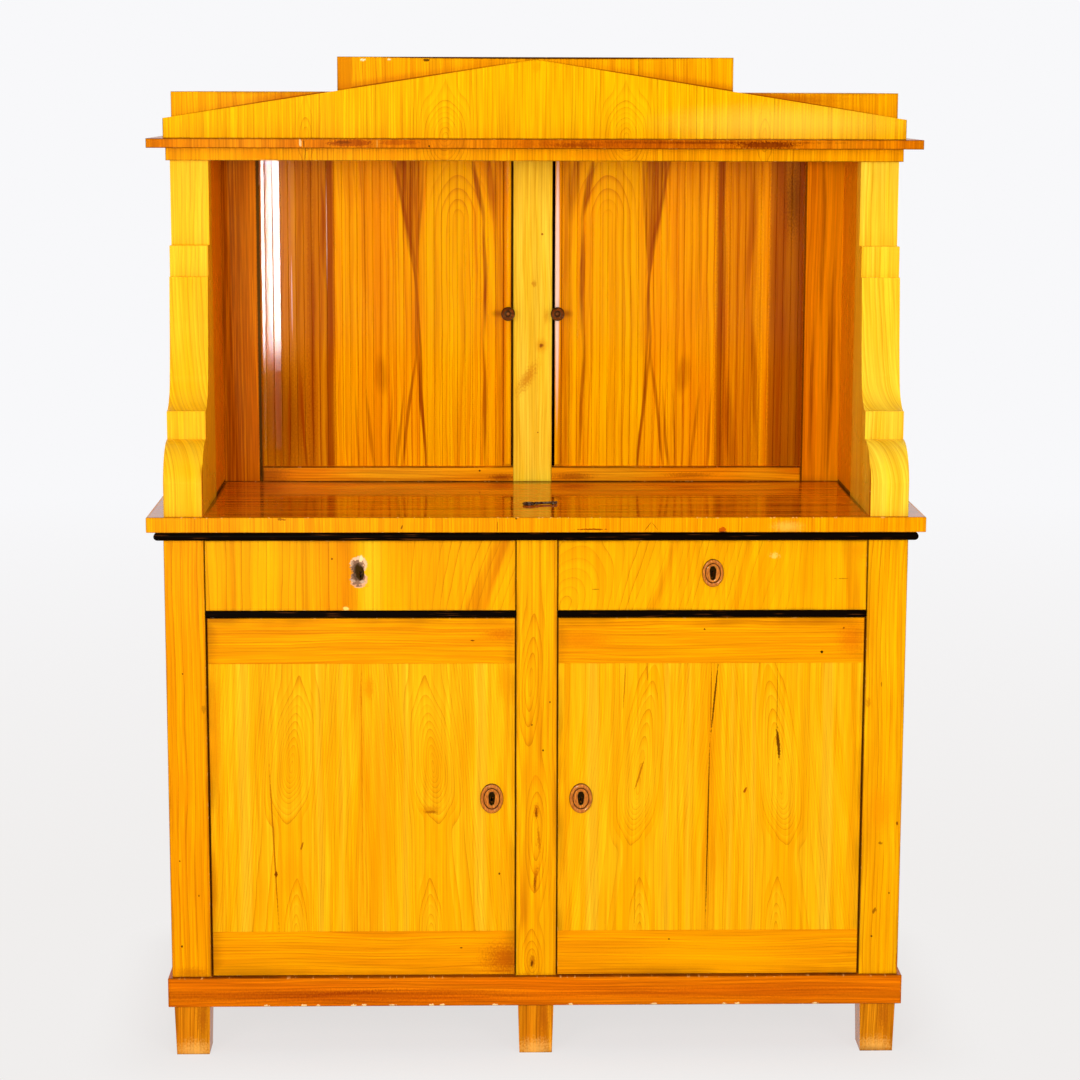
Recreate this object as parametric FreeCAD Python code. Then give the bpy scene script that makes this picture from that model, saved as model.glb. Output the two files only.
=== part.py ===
"""Buffet and hutch in polished cherry, modelled in millimetres as its separate boards and fittings.

X runs to the right, Y to the back and Z up. The origin is on the floor under the middle of the worktop.
"""
import FreeCAD
import Part
import math
import os

V = FreeCAD.Vector

# Worktop
TOP_WIDTH = 1320.0
TOP_DEPTH = 650.0
TOP_THICK = 26.0
LIPPING_THICK = 4.0
FRONT_OVERHANG = 18.0
SIDE_OVERHANG = 27.0
BACK_OVERHANG = 5.0

# Heights in the lower case, from the floor upwards
FOOT_HEIGHT = 89.0
PLINTH_HEIGHT = 52.0
DOOR_OPENING_HEIGHT = 638.0
DIVIDER_THICK = 10.0
DRAWER_OPENING_HEIGHT = 124.0
MOULDING_HEIGHT = 15.0

# Feet, plinth and floor of the lower case
FOOT_TOP_SIZE = 62.0
FOOT_SOLE_SIZE = 57.0
SPIGOT_RADIUS = 12.0
SPIGOT_ENTRY = 40.0
PLINTH_PROUD = 7.0
PLINTH_RAIL_WIDTH = 75.0
BOTTOM_THICK = 18.0
BOTTOM_REBATE = 20.0

# Posts, panels and boards of the lower case
POST_WIDTH = 68.0
POST_DEPTH = 60.0
REAR_POST_SIZE = 58.0
CENTRE_STILE_WIDTH = 70.0
PANEL_THICK = 20.0
PARTITION_THICK = 20.0
BACK_BOARD_THICK = 14.0
BACK_BOARD_INSET = 6.0
BACK_BOARD_COUNT = 5
TONGUE_THICK = 8.0
TONGUE_LENGTH = 10.0
TENON_LENGTH = 12.0
TENON_SHOULDER = 10.0
MOULDING_PROUD = 15.0

# Drawer runners and cupboard shelves
RUNNER_BEARING = 20.0
GUIDE_HEIGHT = 12.0
SHELF_THICK = 18.0
SHELF_HEIGHT = 310.0
SHELF_SETBACK = 12.0
BATTEN_SIZE = 20.0

# Doors
DOOR_THICK = 24.0
DOOR_RECESS = 1.0
DOOR_GAP = 2.0
DOOR_HINGE_GAP = 3.0
DOOR_RAIL_HEIGHT = 79.0
DOOR_TONGUE_LENGTH = 14.0
DOOR_EDGE_RADIUS = 3.0
PIVOT_INSET = 9.0
PIVOT_RADIUS = 4.0
PIVOT_PLATE_LENGTH = 50.0
PIVOT_PLATE_WIDTH = 12.0
PIVOT_PLATE_THICK = 2.5
PIVOT_ENTRY = 3.0

# Locks, bolts, keyholes and escutcheons
LOCK_THICK = 14.0
LOCK_WIDTH = 62.0
LOCK_BELOW_KEYHOLE = 26.0
DOOR_LOCK_HEIGHT = 74.0
DOOR_BACKSET = 40.0
BOLT_THICK = 6.0
BOLT_WIDTH = 20.0
BOLT_LENGTH = 36.0
BOLT_THROW = 9.0
BOLT_ABOVE_KEYHOLE = 12.0
STRIKE_SPARE = 1.5
KEYHOLE_RADIUS = 3.2
KEYHOLE_SLOT = 3.2
KEYHOLE_DROP = 11.0
DRAWER_KEYHOLE_RISE = 4.0
DOOR_ESCUTCHEON_WIDTH = 40.0
DOOR_ESCUTCHEON_HEIGHT = 53.0
DRAWER_ESCUTCHEON_WIDTH = 37.0
DRAWER_ESCUTCHEON_HEIGHT = 48.5
ESCUTCHEON_PLATE = 3.0
ESCUTCHEON_RIM = 5.0
ESCUTCHEON_RIM_WIDTH = 5.0
SCAR_WIDTH = 28.0
SCAR_HEIGHT = 46.0
SCAR_DEPTH = 1.6

# Drawers
DRAWER_FRONT_THICK = 22.0
DRAWER_GAP = 1.5
DRAWER_REAR_GAP = 22.0
DRAWER_SIDE_THICK = 12.0
DRAWER_HEADROOM = 14.0
DRAWER_BACK_THICK = 12.0
DRAWER_BACK_SETBACK = 8.0
DRAWER_BOTTOM_THICK = 8.0
DRAWER_BOTTOM_RISE = 10.0
DRAWER_GROOVE = 6.0
TAIL_LENGTH = 14.0
TAIL_COUNT = 3
TAIL_ROOT = 18.0
TAIL_TIP = 24.0

# Hutch: scroll supports, walls and tambour frame
HUTCH_HEIGHT = 591.0
SCROLL_WIDTH = 66.0
SCROLL_INSET = 2.0
SCROLL_CORE_DEPTH = 45.0
SCROLL_SPIGOT_RADIUS = 10.0
SCROLL_SPIGOT_LENGTH = 18.0
SCROLL_SPIGOT_INSET = 40.0
HUTCH_WALL_THICK = 20.0
HUTCH_CUPBOARD_DEPTH = 224.0
HUTCH_STILE_THICK = 18.0
HUTCH_CENTRE_STILE_WIDTH = 71.0
HUTCH_SIDE_STILE_WIDTH = 70.0
HUTCH_RAIL_HEIGHT = 27.0
HUTCH_BACK_THICK = 12.0
HUTCH_BACK_COUNT = 4

# Scroll front, as set back from the worktop's front edge at heights above the worktop
FOOT_FACE_SETBACK = 12.0
BULGE_START = 56.0
BULGE_MID_SETBACK = 31.0
BULGE_MID_HEIGHT = 98.0
BULGE_TOP_SETBACK = 80.0
LOWER_BLOCK_SETBACK = 87.0
LOWER_BLOCK_BASE = 122.0
LOWER_BLOCK_TOP = 170.0
FLARE_START_SETBACK = 97.0
FLARE_MID_SETBACK = 126.0
FLARE_MID_HEIGHT = 187.0
FLARE_END_SETBACK = 143.0
FLARE_END_HEIGHT = 224.0
SHAFT_MID_SETBACK = 152.0
SHAFT_MID_HEIGHT = 266.0
SHAFT_TURN_SETBACK = 158.0
SHAFT_TURN_HEIGHT = 316.0
SHAFT_TOP_SETBACK = 167.0
UPPER_BLOCK_SETBACK = 178.0
UPPER_BLOCK_BASE = 393.0
UPPER_BLOCK_TOP = 446.0
NECK_SETBACK = 209.0

# Tambour doors
SLAT_PITCH = 14.0
SLAT_GAP = 0.4
SLAT_THICK = 9.0
SLAT_CHAMFER = 1.6
SLAT_CLEARANCE = 0.6
LEAD_WIDTH = 16.0
LEAD_GAP = 1.6
LEAD_NOSING = 9.0
NOSING_CLEARANCE = 4.0
TRACK_DEPTH = 7.0
TRACK_BEND_RADIUS = 45.0
TRACK_WALL = 4.5
TAMBOUR_TRAVEL = 400.0
CANVAS_THICK = 0.8
CANVAS_MARGIN = 12.0
KNOB_HEIGHT = 310.0
KNOB_RADIUS = 12.7
KNOB_NECK_RADIUS = 5.5
KNOB_HEAD_LENGTH = 15.0
KNOB_SHOULDER = 5.0
KNOB_CLEARANCE = 3.0
KNOB_SPIGOT_RADIUS = 4.0
KNOB_SPIGOT_LENGTH = 12.0

# Inside of the tambour cupboards
LINER_THICK = 8.0
LINER_CLEARANCE = 3.0
HUTCH_DIVIDER_THICK = 18.0
HUTCH_SHELF_THICK = 14.0
HUTCH_SHELF_HEIGHT = 300.0
HUTCH_SHELF_SETBACK = 14.0
HOUSING = 4.0

# Crown of the hutch
FRIEZE_HEIGHT = 22.0
FRIEZE_THICK = 22.0
FRIEZE_OVERHANG = 11.0
FRIEZE_RETURN = 6.0
CORNICE_THICK = 16.0
CORNICE_FRONT_OVERHANG = 35.0
CORNICE_SIDE_OVERHANG = 35.5
PEDIMENT_SIDE_OVERHANG = 10.0
PEDIMENT_THICK = 22.0
PEDIMENT_END_HEIGHT = 34.0
PEDIMENT_APEX_HEIGHT = 134.5
ATTIC_GAP = 4.0
ATTIC_WALL = 20.0
ATTIC_TOP_THICK = 14.0
ATTIC_LOWER_INSET = 2.0
ATTIC_LOWER_HEIGHT = 79.0
ATTIC_STEP = 287.0
ATTIC_UPPER_HEIGHT = 60.0

# Loose key, lying on the worktop
KEY_LENGTH = 63.0
KEY_RADIUS = 2.6
KEY_BOW_RADIUS = 9.5
KEY_BIT_LENGTH = 11.0
KEY_BIT_WIDTH = 8.0
KEY_BIT_THICK = 2.6
KEY_TIP = 4.0
KEY_TURN = 16.0
KEY_X = 7.5
KEY_SETBACK = 142.0

# Fits and eased edges
GLUE_GAP = 0.1
RUN_GAP = 0.2
PIN_GAP = 0.05
BOLT_GAP = 0.3
EASE = 1.2
FINE_EASE = 0.6

SIDES = {"left": -1, "right": 1}

# Planes and levels of the lower case
TOP_HALF = TOP_WIDTH / 2
Y_TOP = -TOP_DEPTH / 2
Y_TOP_BACK = TOP_DEPTH / 2
CASE_HALF = TOP_HALF - SIDE_OVERHANG
Y_CASE = Y_TOP + FRONT_OVERHANG
Y_POST_BACK = Y_CASE + POST_DEPTH
Y_BACK = Y_TOP_BACK - BACK_OVERHANG
Y_REAR_POST = Y_BACK - REAR_POST_SIZE
Y_BOARD_BACK = Y_BACK - BACK_BOARD_INSET
Y_BOARD = Y_BOARD_BACK - BACK_BOARD_THICK
Z_CASE = FOOT_HEIGHT + PLINTH_HEIGHT
Z_DIVIDER = Z_CASE + DOOR_OPENING_HEIGHT
Z_DRAWER = Z_DIVIDER + DIVIDER_THICK
Z_RAIL = Z_DRAWER + DRAWER_OPENING_HEIGHT
Z_TOP = Z_RAIL + MOULDING_HEIGHT
Z_DECK = Z_TOP + TOP_THICK
BAY_IN = CENTRE_STILE_WIDTH / 2
BAY_OUT = CASE_HALF - POST_WIDTH
PANEL_IN = CASE_HALF - PANEL_THICK
REAR_POST_IN = CASE_HALF - REAR_POST_SIZE
PLINTH_HALF = CASE_HALF + PLINTH_PROUD
Y_PLINTH = Y_CASE - PLINTH_PROUD
Y_PLINTH_BACK = Y_PLINTH + PLINTH_RAIL_WIDTH
PLINTH_IN = PLINTH_HALF - PLINTH_RAIL_WIDTH
Z_SHELF = Z_CASE + SHELF_HEIGHT

# Planes of the doors, drawers and their locks
DOOR_IN = BAY_IN + DOOR_GAP
DOOR_OUT = BAY_OUT - DOOR_HINGE_GAP
DOOR_MIDDLE = (DOOR_IN + DOOR_OUT) / 2
Y_DOOR = Y_CASE + DOOR_RECESS
Y_DOOR_BACK = Y_DOOR + DOOR_THICK
Z_DOOR = Z_CASE + DOOR_GAP
Z_DOOR_TOP = Z_DIVIDER - DOOR_GAP
Z_DOOR_BOARD = Z_DOOR + DOOR_RAIL_HEIGHT
Z_DOOR_BOARD_TOP = Z_DOOR_TOP - DOOR_RAIL_HEIGHT
PIVOT_X = DOOR_OUT - PIVOT_INSET
PIVOT_Y = Y_DOOR + PIVOT_INSET
DOOR_KEY_X = DOOR_IN + DOOR_BACKSET
DOOR_KEY_Z = (Z_CASE + Z_DIVIDER) / 2
DRAWER_IN = BAY_IN + DRAWER_GAP
DRAWER_OUT = BAY_OUT - DRAWER_GAP
DRAWER_KEY_X = (DRAWER_IN + DRAWER_OUT) / 2
DRAWER_KEY_Z = (Z_DRAWER + Z_RAIL) / 2 + DRAWER_KEYHOLE_RISE
Y_DRAWER_BACK = Y_CASE + DRAWER_FRONT_THICK
Z_DRAWER_FRONT = Z_DRAWER + DRAWER_GAP
Z_DRAWER_FRONT_TOP = Z_RAIL - DRAWER_GAP
Z_DRAWER_SIDE = Z_DRAWER + RUN_GAP
Z_DRAWER_SIDE_TOP = Z_RAIL - DRAWER_HEADROOM
Y_DRAWER_END = Y_BOARD - DRAWER_REAR_GAP
Z_DRAWER_BOTTOM = Z_DRAWER_SIDE + DRAWER_BOTTOM_RISE

# Planes and levels of the hutch
Z_FRIEZE = Z_DECK + HUTCH_HEIGHT
Z_CORNICE = Z_FRIEZE + FRIEZE_HEIGHT
Z_CROWN = Z_CORNICE + CORNICE_THICK
Z_ATTIC = Z_CROWN + ATTIC_LOWER_HEIGHT
SCROLL_OUT = CASE_HALF - SCROLL_INSET
SCROLL_IN = SCROLL_OUT - SCROLL_WIDTH
WALL_IN = SCROLL_OUT - HUTCH_WALL_THICK
Y_SCROLL_BACK = Y_TOP + NECK_SETBACK + SCROLL_CORE_DEPTH
Y_NICHE = Y_BACK - HUTCH_CUPBOARD_DEPTH
Y_STILE_BACK = Y_NICHE + HUTCH_STILE_THICK
Y_HUTCH_BOARD = Y_BACK - HUTCH_BACK_THICK
HUTCH_BAY_IN = HUTCH_CENTRE_STILE_WIDTH / 2
HUTCH_BAY_OUT = SCROLL_IN - HUTCH_SIDE_STILE_WIDTH
Z_HUTCH_FLOOR = Z_DECK + HUTCH_RAIL_HEIGHT
Y_FRIEZE = Y_TOP + NECK_SETBACK - FRIEZE_OVERHANG
Y_FRIEZE_BACK = Y_FRIEZE + FRIEZE_THICK
Y_ATTIC = Y_FRIEZE + PEDIMENT_THICK + ATTIC_GAP
ATTIC_LOWER_HALF = SCROLL_OUT - ATTIC_LOWER_INSET
ATTIC_UPPER_HALF = ATTIC_LOWER_HALF - ATTIC_STEP

# Path of the tambour track and what lies inside it
Y_SLAT = Y_STILE_BACK + SLAT_CLEARANCE
Y_SLAT_BACK = Y_SLAT + SLAT_THICK
Y_TRACK = (Y_SLAT + Y_SLAT_BACK) / 2
TRACK_HALF = SLAT_THICK / 2 + SLAT_CLEARANCE
TRACK_OUT = WALL_IN - TRACK_WALL - TRACK_HALF
Y_TRACK_REAR = Y_HUTCH_BOARD - TRACK_WALL - TRACK_HALF
BEND_X = TRACK_OUT - TRACK_BEND_RADIUS
Y_BEND_FRONT = Y_TRACK + TRACK_BEND_RADIUS
Y_BEND_REAR = Y_TRACK_REAR - TRACK_BEND_RADIUS
LEAD_IN = HUTCH_BAY_IN + LEAD_GAP
LEAD_OUT = LEAD_IN + LEAD_WIDTH
SLAT_COUNT = math.floor((BEND_X - LEAD_OUT) / SLAT_PITCH)
CURTAIN_OUT = LEAD_OUT + SLAT_COUNT * SLAT_PITCH
TRACK_RUN = math.pi * TRACK_BEND_RADIUS + Y_BEND_REAR - Y_BEND_FRONT + BEND_X - CURTAIN_OUT
REAR_RUN = max(TAMBOUR_TRAVEL - TRACK_RUN, 0.0) + SLAT_PITCH
Z_SLAT = Z_HUTCH_FLOOR - TRACK_DEPTH + RUN_GAP
Z_SLAT_TOP = Z_FRIEZE + TRACK_DEPTH - RUN_GAP
LINER_REACH = (TRACK_BEND_RADIUS - TRACK_HALF - LINER_CLEARANCE) / math.sqrt(2)
LINER_OUT = BEND_X + LINER_REACH
LINER_IN = LINER_OUT - LINER_THICK
Y_LINER_FRONT = Y_BEND_FRONT - LINER_REACH
Y_LINER_REAR = Y_BEND_REAR + LINER_REACH
Y_LINER = Y_LINER_REAR - LINER_THICK
HUTCH_DIVIDER_HALF = HUTCH_DIVIDER_THICK / 2
Z_HUTCH_SHELF = Z_DECK + HUTCH_SHELF_HEIGHT
KNOB_X = (LEAD_IN + LEAD_OUT) / 2
KNOB_Z = Z_DECK + KNOB_HEIGHT
Y_LEAD = Y_SLAT - LEAD_NOSING

nodes = {}


def keep(name, *solids):
    """Store the solids of one named piece or group of like pieces."""
    nodes.setdefault(name, []).extend(solids)


def block(xs, ys, zs):
    """Box between two X, two Y and two Z planes, given in any order."""
    low = V(min(xs), min(ys), min(zs))
    return Part.makeBox(abs(xs[1] - xs[0]), abs(ys[1] - ys[0]), abs(zs[1] - zs[0]), low)


def span(side, near, far):
    """X planes at two distances from the middle, on one side."""
    return (side * near, side * far)


def widened(planes, gap):
    """The same pair of planes, each moved out by a gap."""
    return (min(planes) - gap, max(planes) + gap)


def around(middle, size):
    """A pair of planes centred on a middle."""
    return (middle - size / 2, middle + size / 2)


def prism(points, along):
    """Solid of a closed straight-sided outline pushed along a vector."""
    outline = Part.makePolygon(points + points[:1])
    return Part.Face(outline).extrude(along)


def plan(points, z_low, z_high):
    """Upright solid of an outline of X and Y points."""
    return prism([V(x, y, z_low) for x, y in points], V(0, 0, z_high - z_low))


def rod(centre, direction, radius, length):
    """Round rod from a centre point along a direction."""
    return Part.makeCylinder(radius, length, centre, direction)


def cut(shape, *tools):
    """The shape with every tool taken out of it."""
    for tool in tools:
        shape = shape.cut(tool)
    return shape


def joined(shape, *others):
    """One solid of touching shapes, with the seams between flush faces removed."""
    return shape.fuse(list(others)).removeSplitter()


def eased(shape, size, axis, value):
    """Chamfer every edge that lies in the plane where one coordinate has a value."""
    def lies_in(edge):
        return all(abs(getattr(v.Point, axis) - value) < 1e-4 for v in edge.Vertexes)
    return shape.makeChamfer(size, [edge for edge in shape.Edges if lies_in(edge)])


def mirrored(shape):
    """The same shape on the other side of the middle."""
    return shape.mirror(V(0, 0, 0), V(1, 0, 0))


def on_side(side, right_shape):
    """A shape modelled on the right, put on the side asked for."""
    return right_shape if side > 0 else mirrored(right_shape)


def mitred_front(half, y_front, width):
    """Outline of a front strip whose two ends are mitred."""
    inner = half - width
    return [(-half, y_front), (half, y_front), (inner, y_front + width), (-inner, y_front + width)]


def mitred_return(side, half, y_front, width, y_back):
    """Outline of a side strip that meets a mitred front strip."""
    outer, inner = side * half, side * (half - width)
    return [(outer, y_front), (outer, y_back), (inner, y_back), (inner, y_front + width)]


def foot_places():
    """Where each foot stands: under the posts and the centre stile."""
    front_y = (Y_CASE + Y_POST_BACK) / 2
    rear_y = (Y_REAR_POST + Y_BACK) / 2
    front_x = (BAY_OUT + CASE_HALF) / 2
    rear_x = (REAR_POST_IN + CASE_HALF) / 2
    front = [(-front_x, front_y), (0.0, front_y), (front_x, front_y)]
    rear = [(-rear_x, rear_y), (rear_x, rear_y)]
    return front, rear


def spigot_bores():
    """Holes for the feet's spigots through the plinth and up into the posts."""
    front, rear = foot_places()
    length = PLINTH_HEIGHT + SPIGOT_ENTRY + GLUE_GAP
    return [rod(V(x, y, FOOT_HEIGHT), V(0, 0, 1), SPIGOT_RADIUS + GLUE_GAP, length) for x, y in front + rear]


def foot(x, y):
    """Square foot that tapers to the floor, with a round spigot on its top."""
    outlines = []
    for size, z in ((FOOT_SOLE_SIZE, 0.0), (FOOT_TOP_SIZE, FOOT_HEIGHT)):
        (x0, x1), (y0, y1) = around(x, size), around(y, size)
        corners = [V(x0, y0, z), V(x1, y0, z), V(x1, y1, z), V(x0, y1, z)]
        outlines.append(Part.makePolygon(corners + corners[:1]))
    body = Part.makeLoft(outlines, True, True)
    spigot = rod(V(x, y, FOOT_HEIGHT), V(0, 0, 1), SPIGOT_RADIUS, PLINTH_HEIGHT + SPIGOT_ENTRY)
    return joined(body, spigot)


def pivot_plate(side, z_low, grow=0.0):
    """Flat pivot plate beside the hinge edge, from a level upwards."""
    xs = widened(span(side, DOOR_OUT - PIVOT_PLATE_LENGTH, DOOR_OUT), grow)
    return block(xs, widened(around(PIVOT_Y, PIVOT_PLATE_WIDTH), grow), (z_low, z_low + PIVOT_PLATE_THICK))


def pivot_socket(side, z_low, height):
    """Round socket for a pivot pin between two levels."""
    return rod(V(side * PIVOT_X, PIVOT_Y, z_low), V(0, 0, 1), PIVOT_RADIUS + PIN_GAP, height)


def make_base():
    """Feet, mitred plinth frame and the floor of the cupboards."""
    front, rear = foot_places()
    keep("feet_front", *[foot(x, y) for x, y in front])
    keep("feet_rear", *[foot(x, y) for x, y in rear])
    floor_xs = (-(PLINTH_IN + BOTTOM_REBATE), PLINTH_IN + BOTTOM_REBATE)
    rear_rail_y = Y_BACK - PLINTH_RAIL_WIDTH
    floor_ys = (Y_PLINTH_BACK - BOTTOM_REBATE, rear_rail_y + BOTTOM_REBATE)
    floor_zs = (Z_CASE - BOTTOM_THICK, Z_CASE)
    rebate = block(floor_xs, floor_ys, floor_zs)
    keep("bottom_board", block(widened(floor_xs, -GLUE_GAP), widened(floor_ys, -GLUE_GAP), floor_zs))
    bores = spigot_bores()
    rail = plan(mitred_front(PLINTH_HALF, Y_PLINTH, PLINTH_RAIL_WIDTH), FOOT_HEIGHT, Z_CASE)
    rail = cut(eased(rail, EASE, "y", Y_PLINTH), rebate, *bores)
    for side in SIDES.values():
        plate_seat = pivot_plate(side, Z_CASE - PIVOT_PLATE_THICK, GLUE_GAP)
        pin_depth = PIVOT_PLATE_THICK + PIVOT_ENTRY + RUN_GAP
        rail = cut(rail, plate_seat, pivot_socket(side, Z_CASE - pin_depth, pin_depth))
    keep("plinth_front", rail)
    for side in SIDES.values():
        outline = mitred_return(side, PLINTH_HALF, Y_PLINTH, PLINTH_RAIL_WIDTH, Y_BACK)
        side_rail = eased(plan(outline, FOOT_HEIGHT, Z_CASE), EASE, "x", side * PLINTH_HALF)
        keep("plinth_returns", cut(side_rail, rebate, *bores))
    rear_rail = block((-PLINTH_IN, PLINTH_IN), (rear_rail_y, Y_BACK), (FOOT_HEIGHT, Z_CASE))
    keep("plinth_returns", cut(rear_rail, rebate))


def tongue(side, y_edge, reach, grow=0.0):
    """Upright tongue of a side panel, from its edge at y_edge towards a post."""
    xs = around(side * (CASE_HALF - PANEL_THICK / 2), TONGUE_THICK + 2 * grow)
    return block(xs, (y_edge, y_edge + reach + math.copysign(grow, reach)), (Z_CASE, Z_TOP))


def rail_tenons(side, zs, grow=0.0):
    """The two end tenons of a front rail across one bay."""
    ys = widened((Y_CASE + TENON_SHOULDER, Y_POST_BACK - TENON_SHOULDER), grow)
    inner = block(span(side, BAY_IN, BAY_IN - TENON_LENGTH - grow), ys, widened(zs, grow))
    outer = block(span(side, BAY_OUT, BAY_OUT + TENON_LENGTH + grow), ys, widened(zs, grow))
    return [inner, outer]


def door_bolt(side, grow=0.0, throw=0.0):
    """Bolt of a door lock, or the room that it needs."""
    xs = widened(span(side, DOOR_IN - throw, DOOR_IN + BOLT_LENGTH), grow)
    y_middle = Y_DOOR_BACK + LOCK_THICK / 2
    z_low = DOOR_KEY_Z + BOLT_ABOVE_KEYHOLE
    return block(xs, widened(around(y_middle, BOLT_THICK), grow), widened((z_low, z_low + BOLT_WIDTH), grow))


def drawer_bolt(side, grow=0.0, throw=0.0):
    """Bolt of a drawer lock, or the room that it needs."""
    xs = widened(around(side * DRAWER_KEY_X, BOLT_WIDTH), grow)
    ys = widened(around(Y_DRAWER_BACK + LOCK_THICK / 2, BOLT_THICK), grow)
    return block(xs, ys, widened((Z_DRAWER_FRONT_TOP - BOLT_LENGTH, Z_DRAWER_FRONT_TOP + throw), grow))


def make_posts():
    """Front posts, centre stile and rear posts, with their grooves and mortises."""
    rail_levels = ((Z_DIVIDER, Z_DRAWER), (Z_RAIL, Z_TOP))
    mortises = [m for s in SIDES.values() for zs in rail_levels for m in rail_tenons(s, zs, GLUE_GAP)]
    bores = spigot_bores()
    for name, side in SIDES.items():
        post = block(span(side, BAY_OUT, CASE_HALF), (Y_CASE, Y_POST_BACK), (Z_CASE, Z_TOP))
        groove = tongue(side, Y_POST_BACK, -TONGUE_LENGTH, GLUE_GAP)
        keep(f"post_front_{name}", cut(eased(post, EASE, "y", Y_CASE), groove, *bores, *mortises))
        rear = block(span(side, REAR_POST_IN, CASE_HALF), (Y_REAR_POST, Y_BACK), (Z_CASE, Z_TOP))
        groove = tongue(side, Y_REAR_POST, TONGUE_LENGTH, GLUE_GAP)
        back_xs = span(side, REAR_POST_IN, REAR_POST_IN + TONGUE_LENGTH + GLUE_GAP)
        back_groove = block(back_xs, widened((Y_BOARD, Y_BOARD_BACK), GLUE_GAP), (Z_CASE, Z_TOP))
        keep("rear_posts", cut(rear, groove, back_groove, *bores))
    stile = block((-BAY_IN, BAY_IN), (Y_CASE, Y_POST_BACK), (Z_CASE, Z_TOP))
    stile = cut(eased(stile, EASE, "y", Y_CASE), *bores, *mortises)
    strikes = [door_bolt(side, BOLT_GAP, BOLT_THROW + STRIKE_SPARE) for side in SIDES.values()]
    slot_ys = (Y_POST_BACK, Y_POST_BACK - TONGUE_LENGTH - GLUE_GAP)
    slot = block(around(0, TONGUE_THICK + 2 * GLUE_GAP), slot_ys, (Z_CASE, Z_TOP))
    keep("centre_stile", cut(stile, slot, *strikes))


def make_panels():
    """Side panels, back boards and the partition between the two bays."""
    zs = (Z_CASE, Z_TOP)
    for side in SIDES.values():
        panel = block(span(side, PANEL_IN, CASE_HALF), (Y_POST_BACK, Y_REAR_POST), zs)
        tongues = (tongue(side, Y_POST_BACK, -TONGUE_LENGTH), tongue(side, Y_REAR_POST, TONGUE_LENGTH))
        keep("side_panels", joined(panel, *tongues))
    half = REAR_POST_IN + TONGUE_LENGTH
    board_row("back_boards", half, BACK_BOARD_COUNT, (Y_BOARD, Y_BOARD_BACK), zs)
    board_row("back_boards", WALL_IN, HUTCH_BACK_COUNT, (Y_HUTCH_BOARD, Y_BACK), (Z_DECK, Z_FRIEZE))
    partition = block(around(0, PARTITION_THICK), (Y_POST_BACK, Y_BOARD), zs)
    lip = block(around(0, TONGUE_THICK), (Y_POST_BACK, Y_POST_BACK - TONGUE_LENGTH), zs)
    keep("partition", joined(partition, lip))


def board_row(name, half, count, ys, zs):
    """Upright boards side by side, with a fine gap between each two."""
    pitch = 2 * half / count
    for i in range(count):
        left = -half + i * pitch
        keep(name, block((left + GLUE_GAP, left + pitch - GLUE_GAP), ys, zs))


def make_drawer_frame():
    """Ebonised rails below the drawers, rails above them, runners, guides and kickers."""
    guide_gap = DRAWER_GAP - RUN_GAP
    inner_ys = (Y_POST_BACK, Y_BOARD)
    outer_ys = (Y_POST_BACK, Y_REAR_POST)
    divider_zs = (Z_DIVIDER, Z_DRAWER)
    rail_zs = (Z_RAIL, Z_TOP)
    guide_zs = (Z_DRAWER, Z_DRAWER + GUIDE_HEIGHT)
    for side in SIDES.values():
        bay = span(side, BAY_IN, BAY_OUT)
        divider = eased(block(bay, (Y_CASE, Y_POST_BACK), divider_zs), FINE_EASE, "y", Y_CASE)
        divider = joined(divider, *rail_tenons(side, divider_zs))
        seat = pivot_plate(side, Z_DIVIDER, GLUE_GAP)
        pin_depth = PIVOT_PLATE_THICK + PIVOT_ENTRY + RUN_GAP
        keep("drawer_dividers", cut(divider, seat, pivot_socket(side, Z_DIVIDER, pin_depth)))
        rail = joined(block(bay, (Y_CASE, Y_POST_BACK), rail_zs), *rail_tenons(side, rail_zs))
        keep("drawer_frame", cut(rail, drawer_bolt(side, BOLT_GAP, BOLT_THROW + STRIKE_SPARE)))
        outer = span(side, BAY_OUT - RUNNER_BEARING, PANEL_IN)
        inner = span(side, PARTITION_THICK / 2, BAY_IN + RUNNER_BEARING)
        outer_guide = span(side, BAY_OUT - guide_gap, PANEL_IN)
        inner_guide = span(side, PARTITION_THICK / 2, BAY_IN + guide_gap)
        for zs in (divider_zs, rail_zs):
            keep("drawer_frame", block(outer, outer_ys, zs), block(inner, inner_ys, zs))
        keep("drawer_frame", block(outer_guide, outer_ys, guide_zs), block(inner_guide, inner_ys, guide_zs))


def make_shelves():
    """Cupboard shelf in each bay, on two battens."""
    ys = (Y_POST_BACK + SHELF_SETBACK, Y_REAR_POST - RUN_GAP)
    for side in SIDES.values():
        reach = widened(span(side, PARTITION_THICK / 2, PANEL_IN), -RUN_GAP)
        keep("cupboard_shelves", block(reach, ys, (Z_SHELF, Z_SHELF + SHELF_THICK)))
        for xs in (span(side, PARTITION_THICK / 2, PARTITION_THICK / 2 + BATTEN_SIZE),
                   span(side, PANEL_IN - BATTEN_SIZE, PANEL_IN)):
            keep("cupboard_shelves", block(xs, ys, (Z_SHELF - BATTEN_SIZE, Z_SHELF)))


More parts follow.
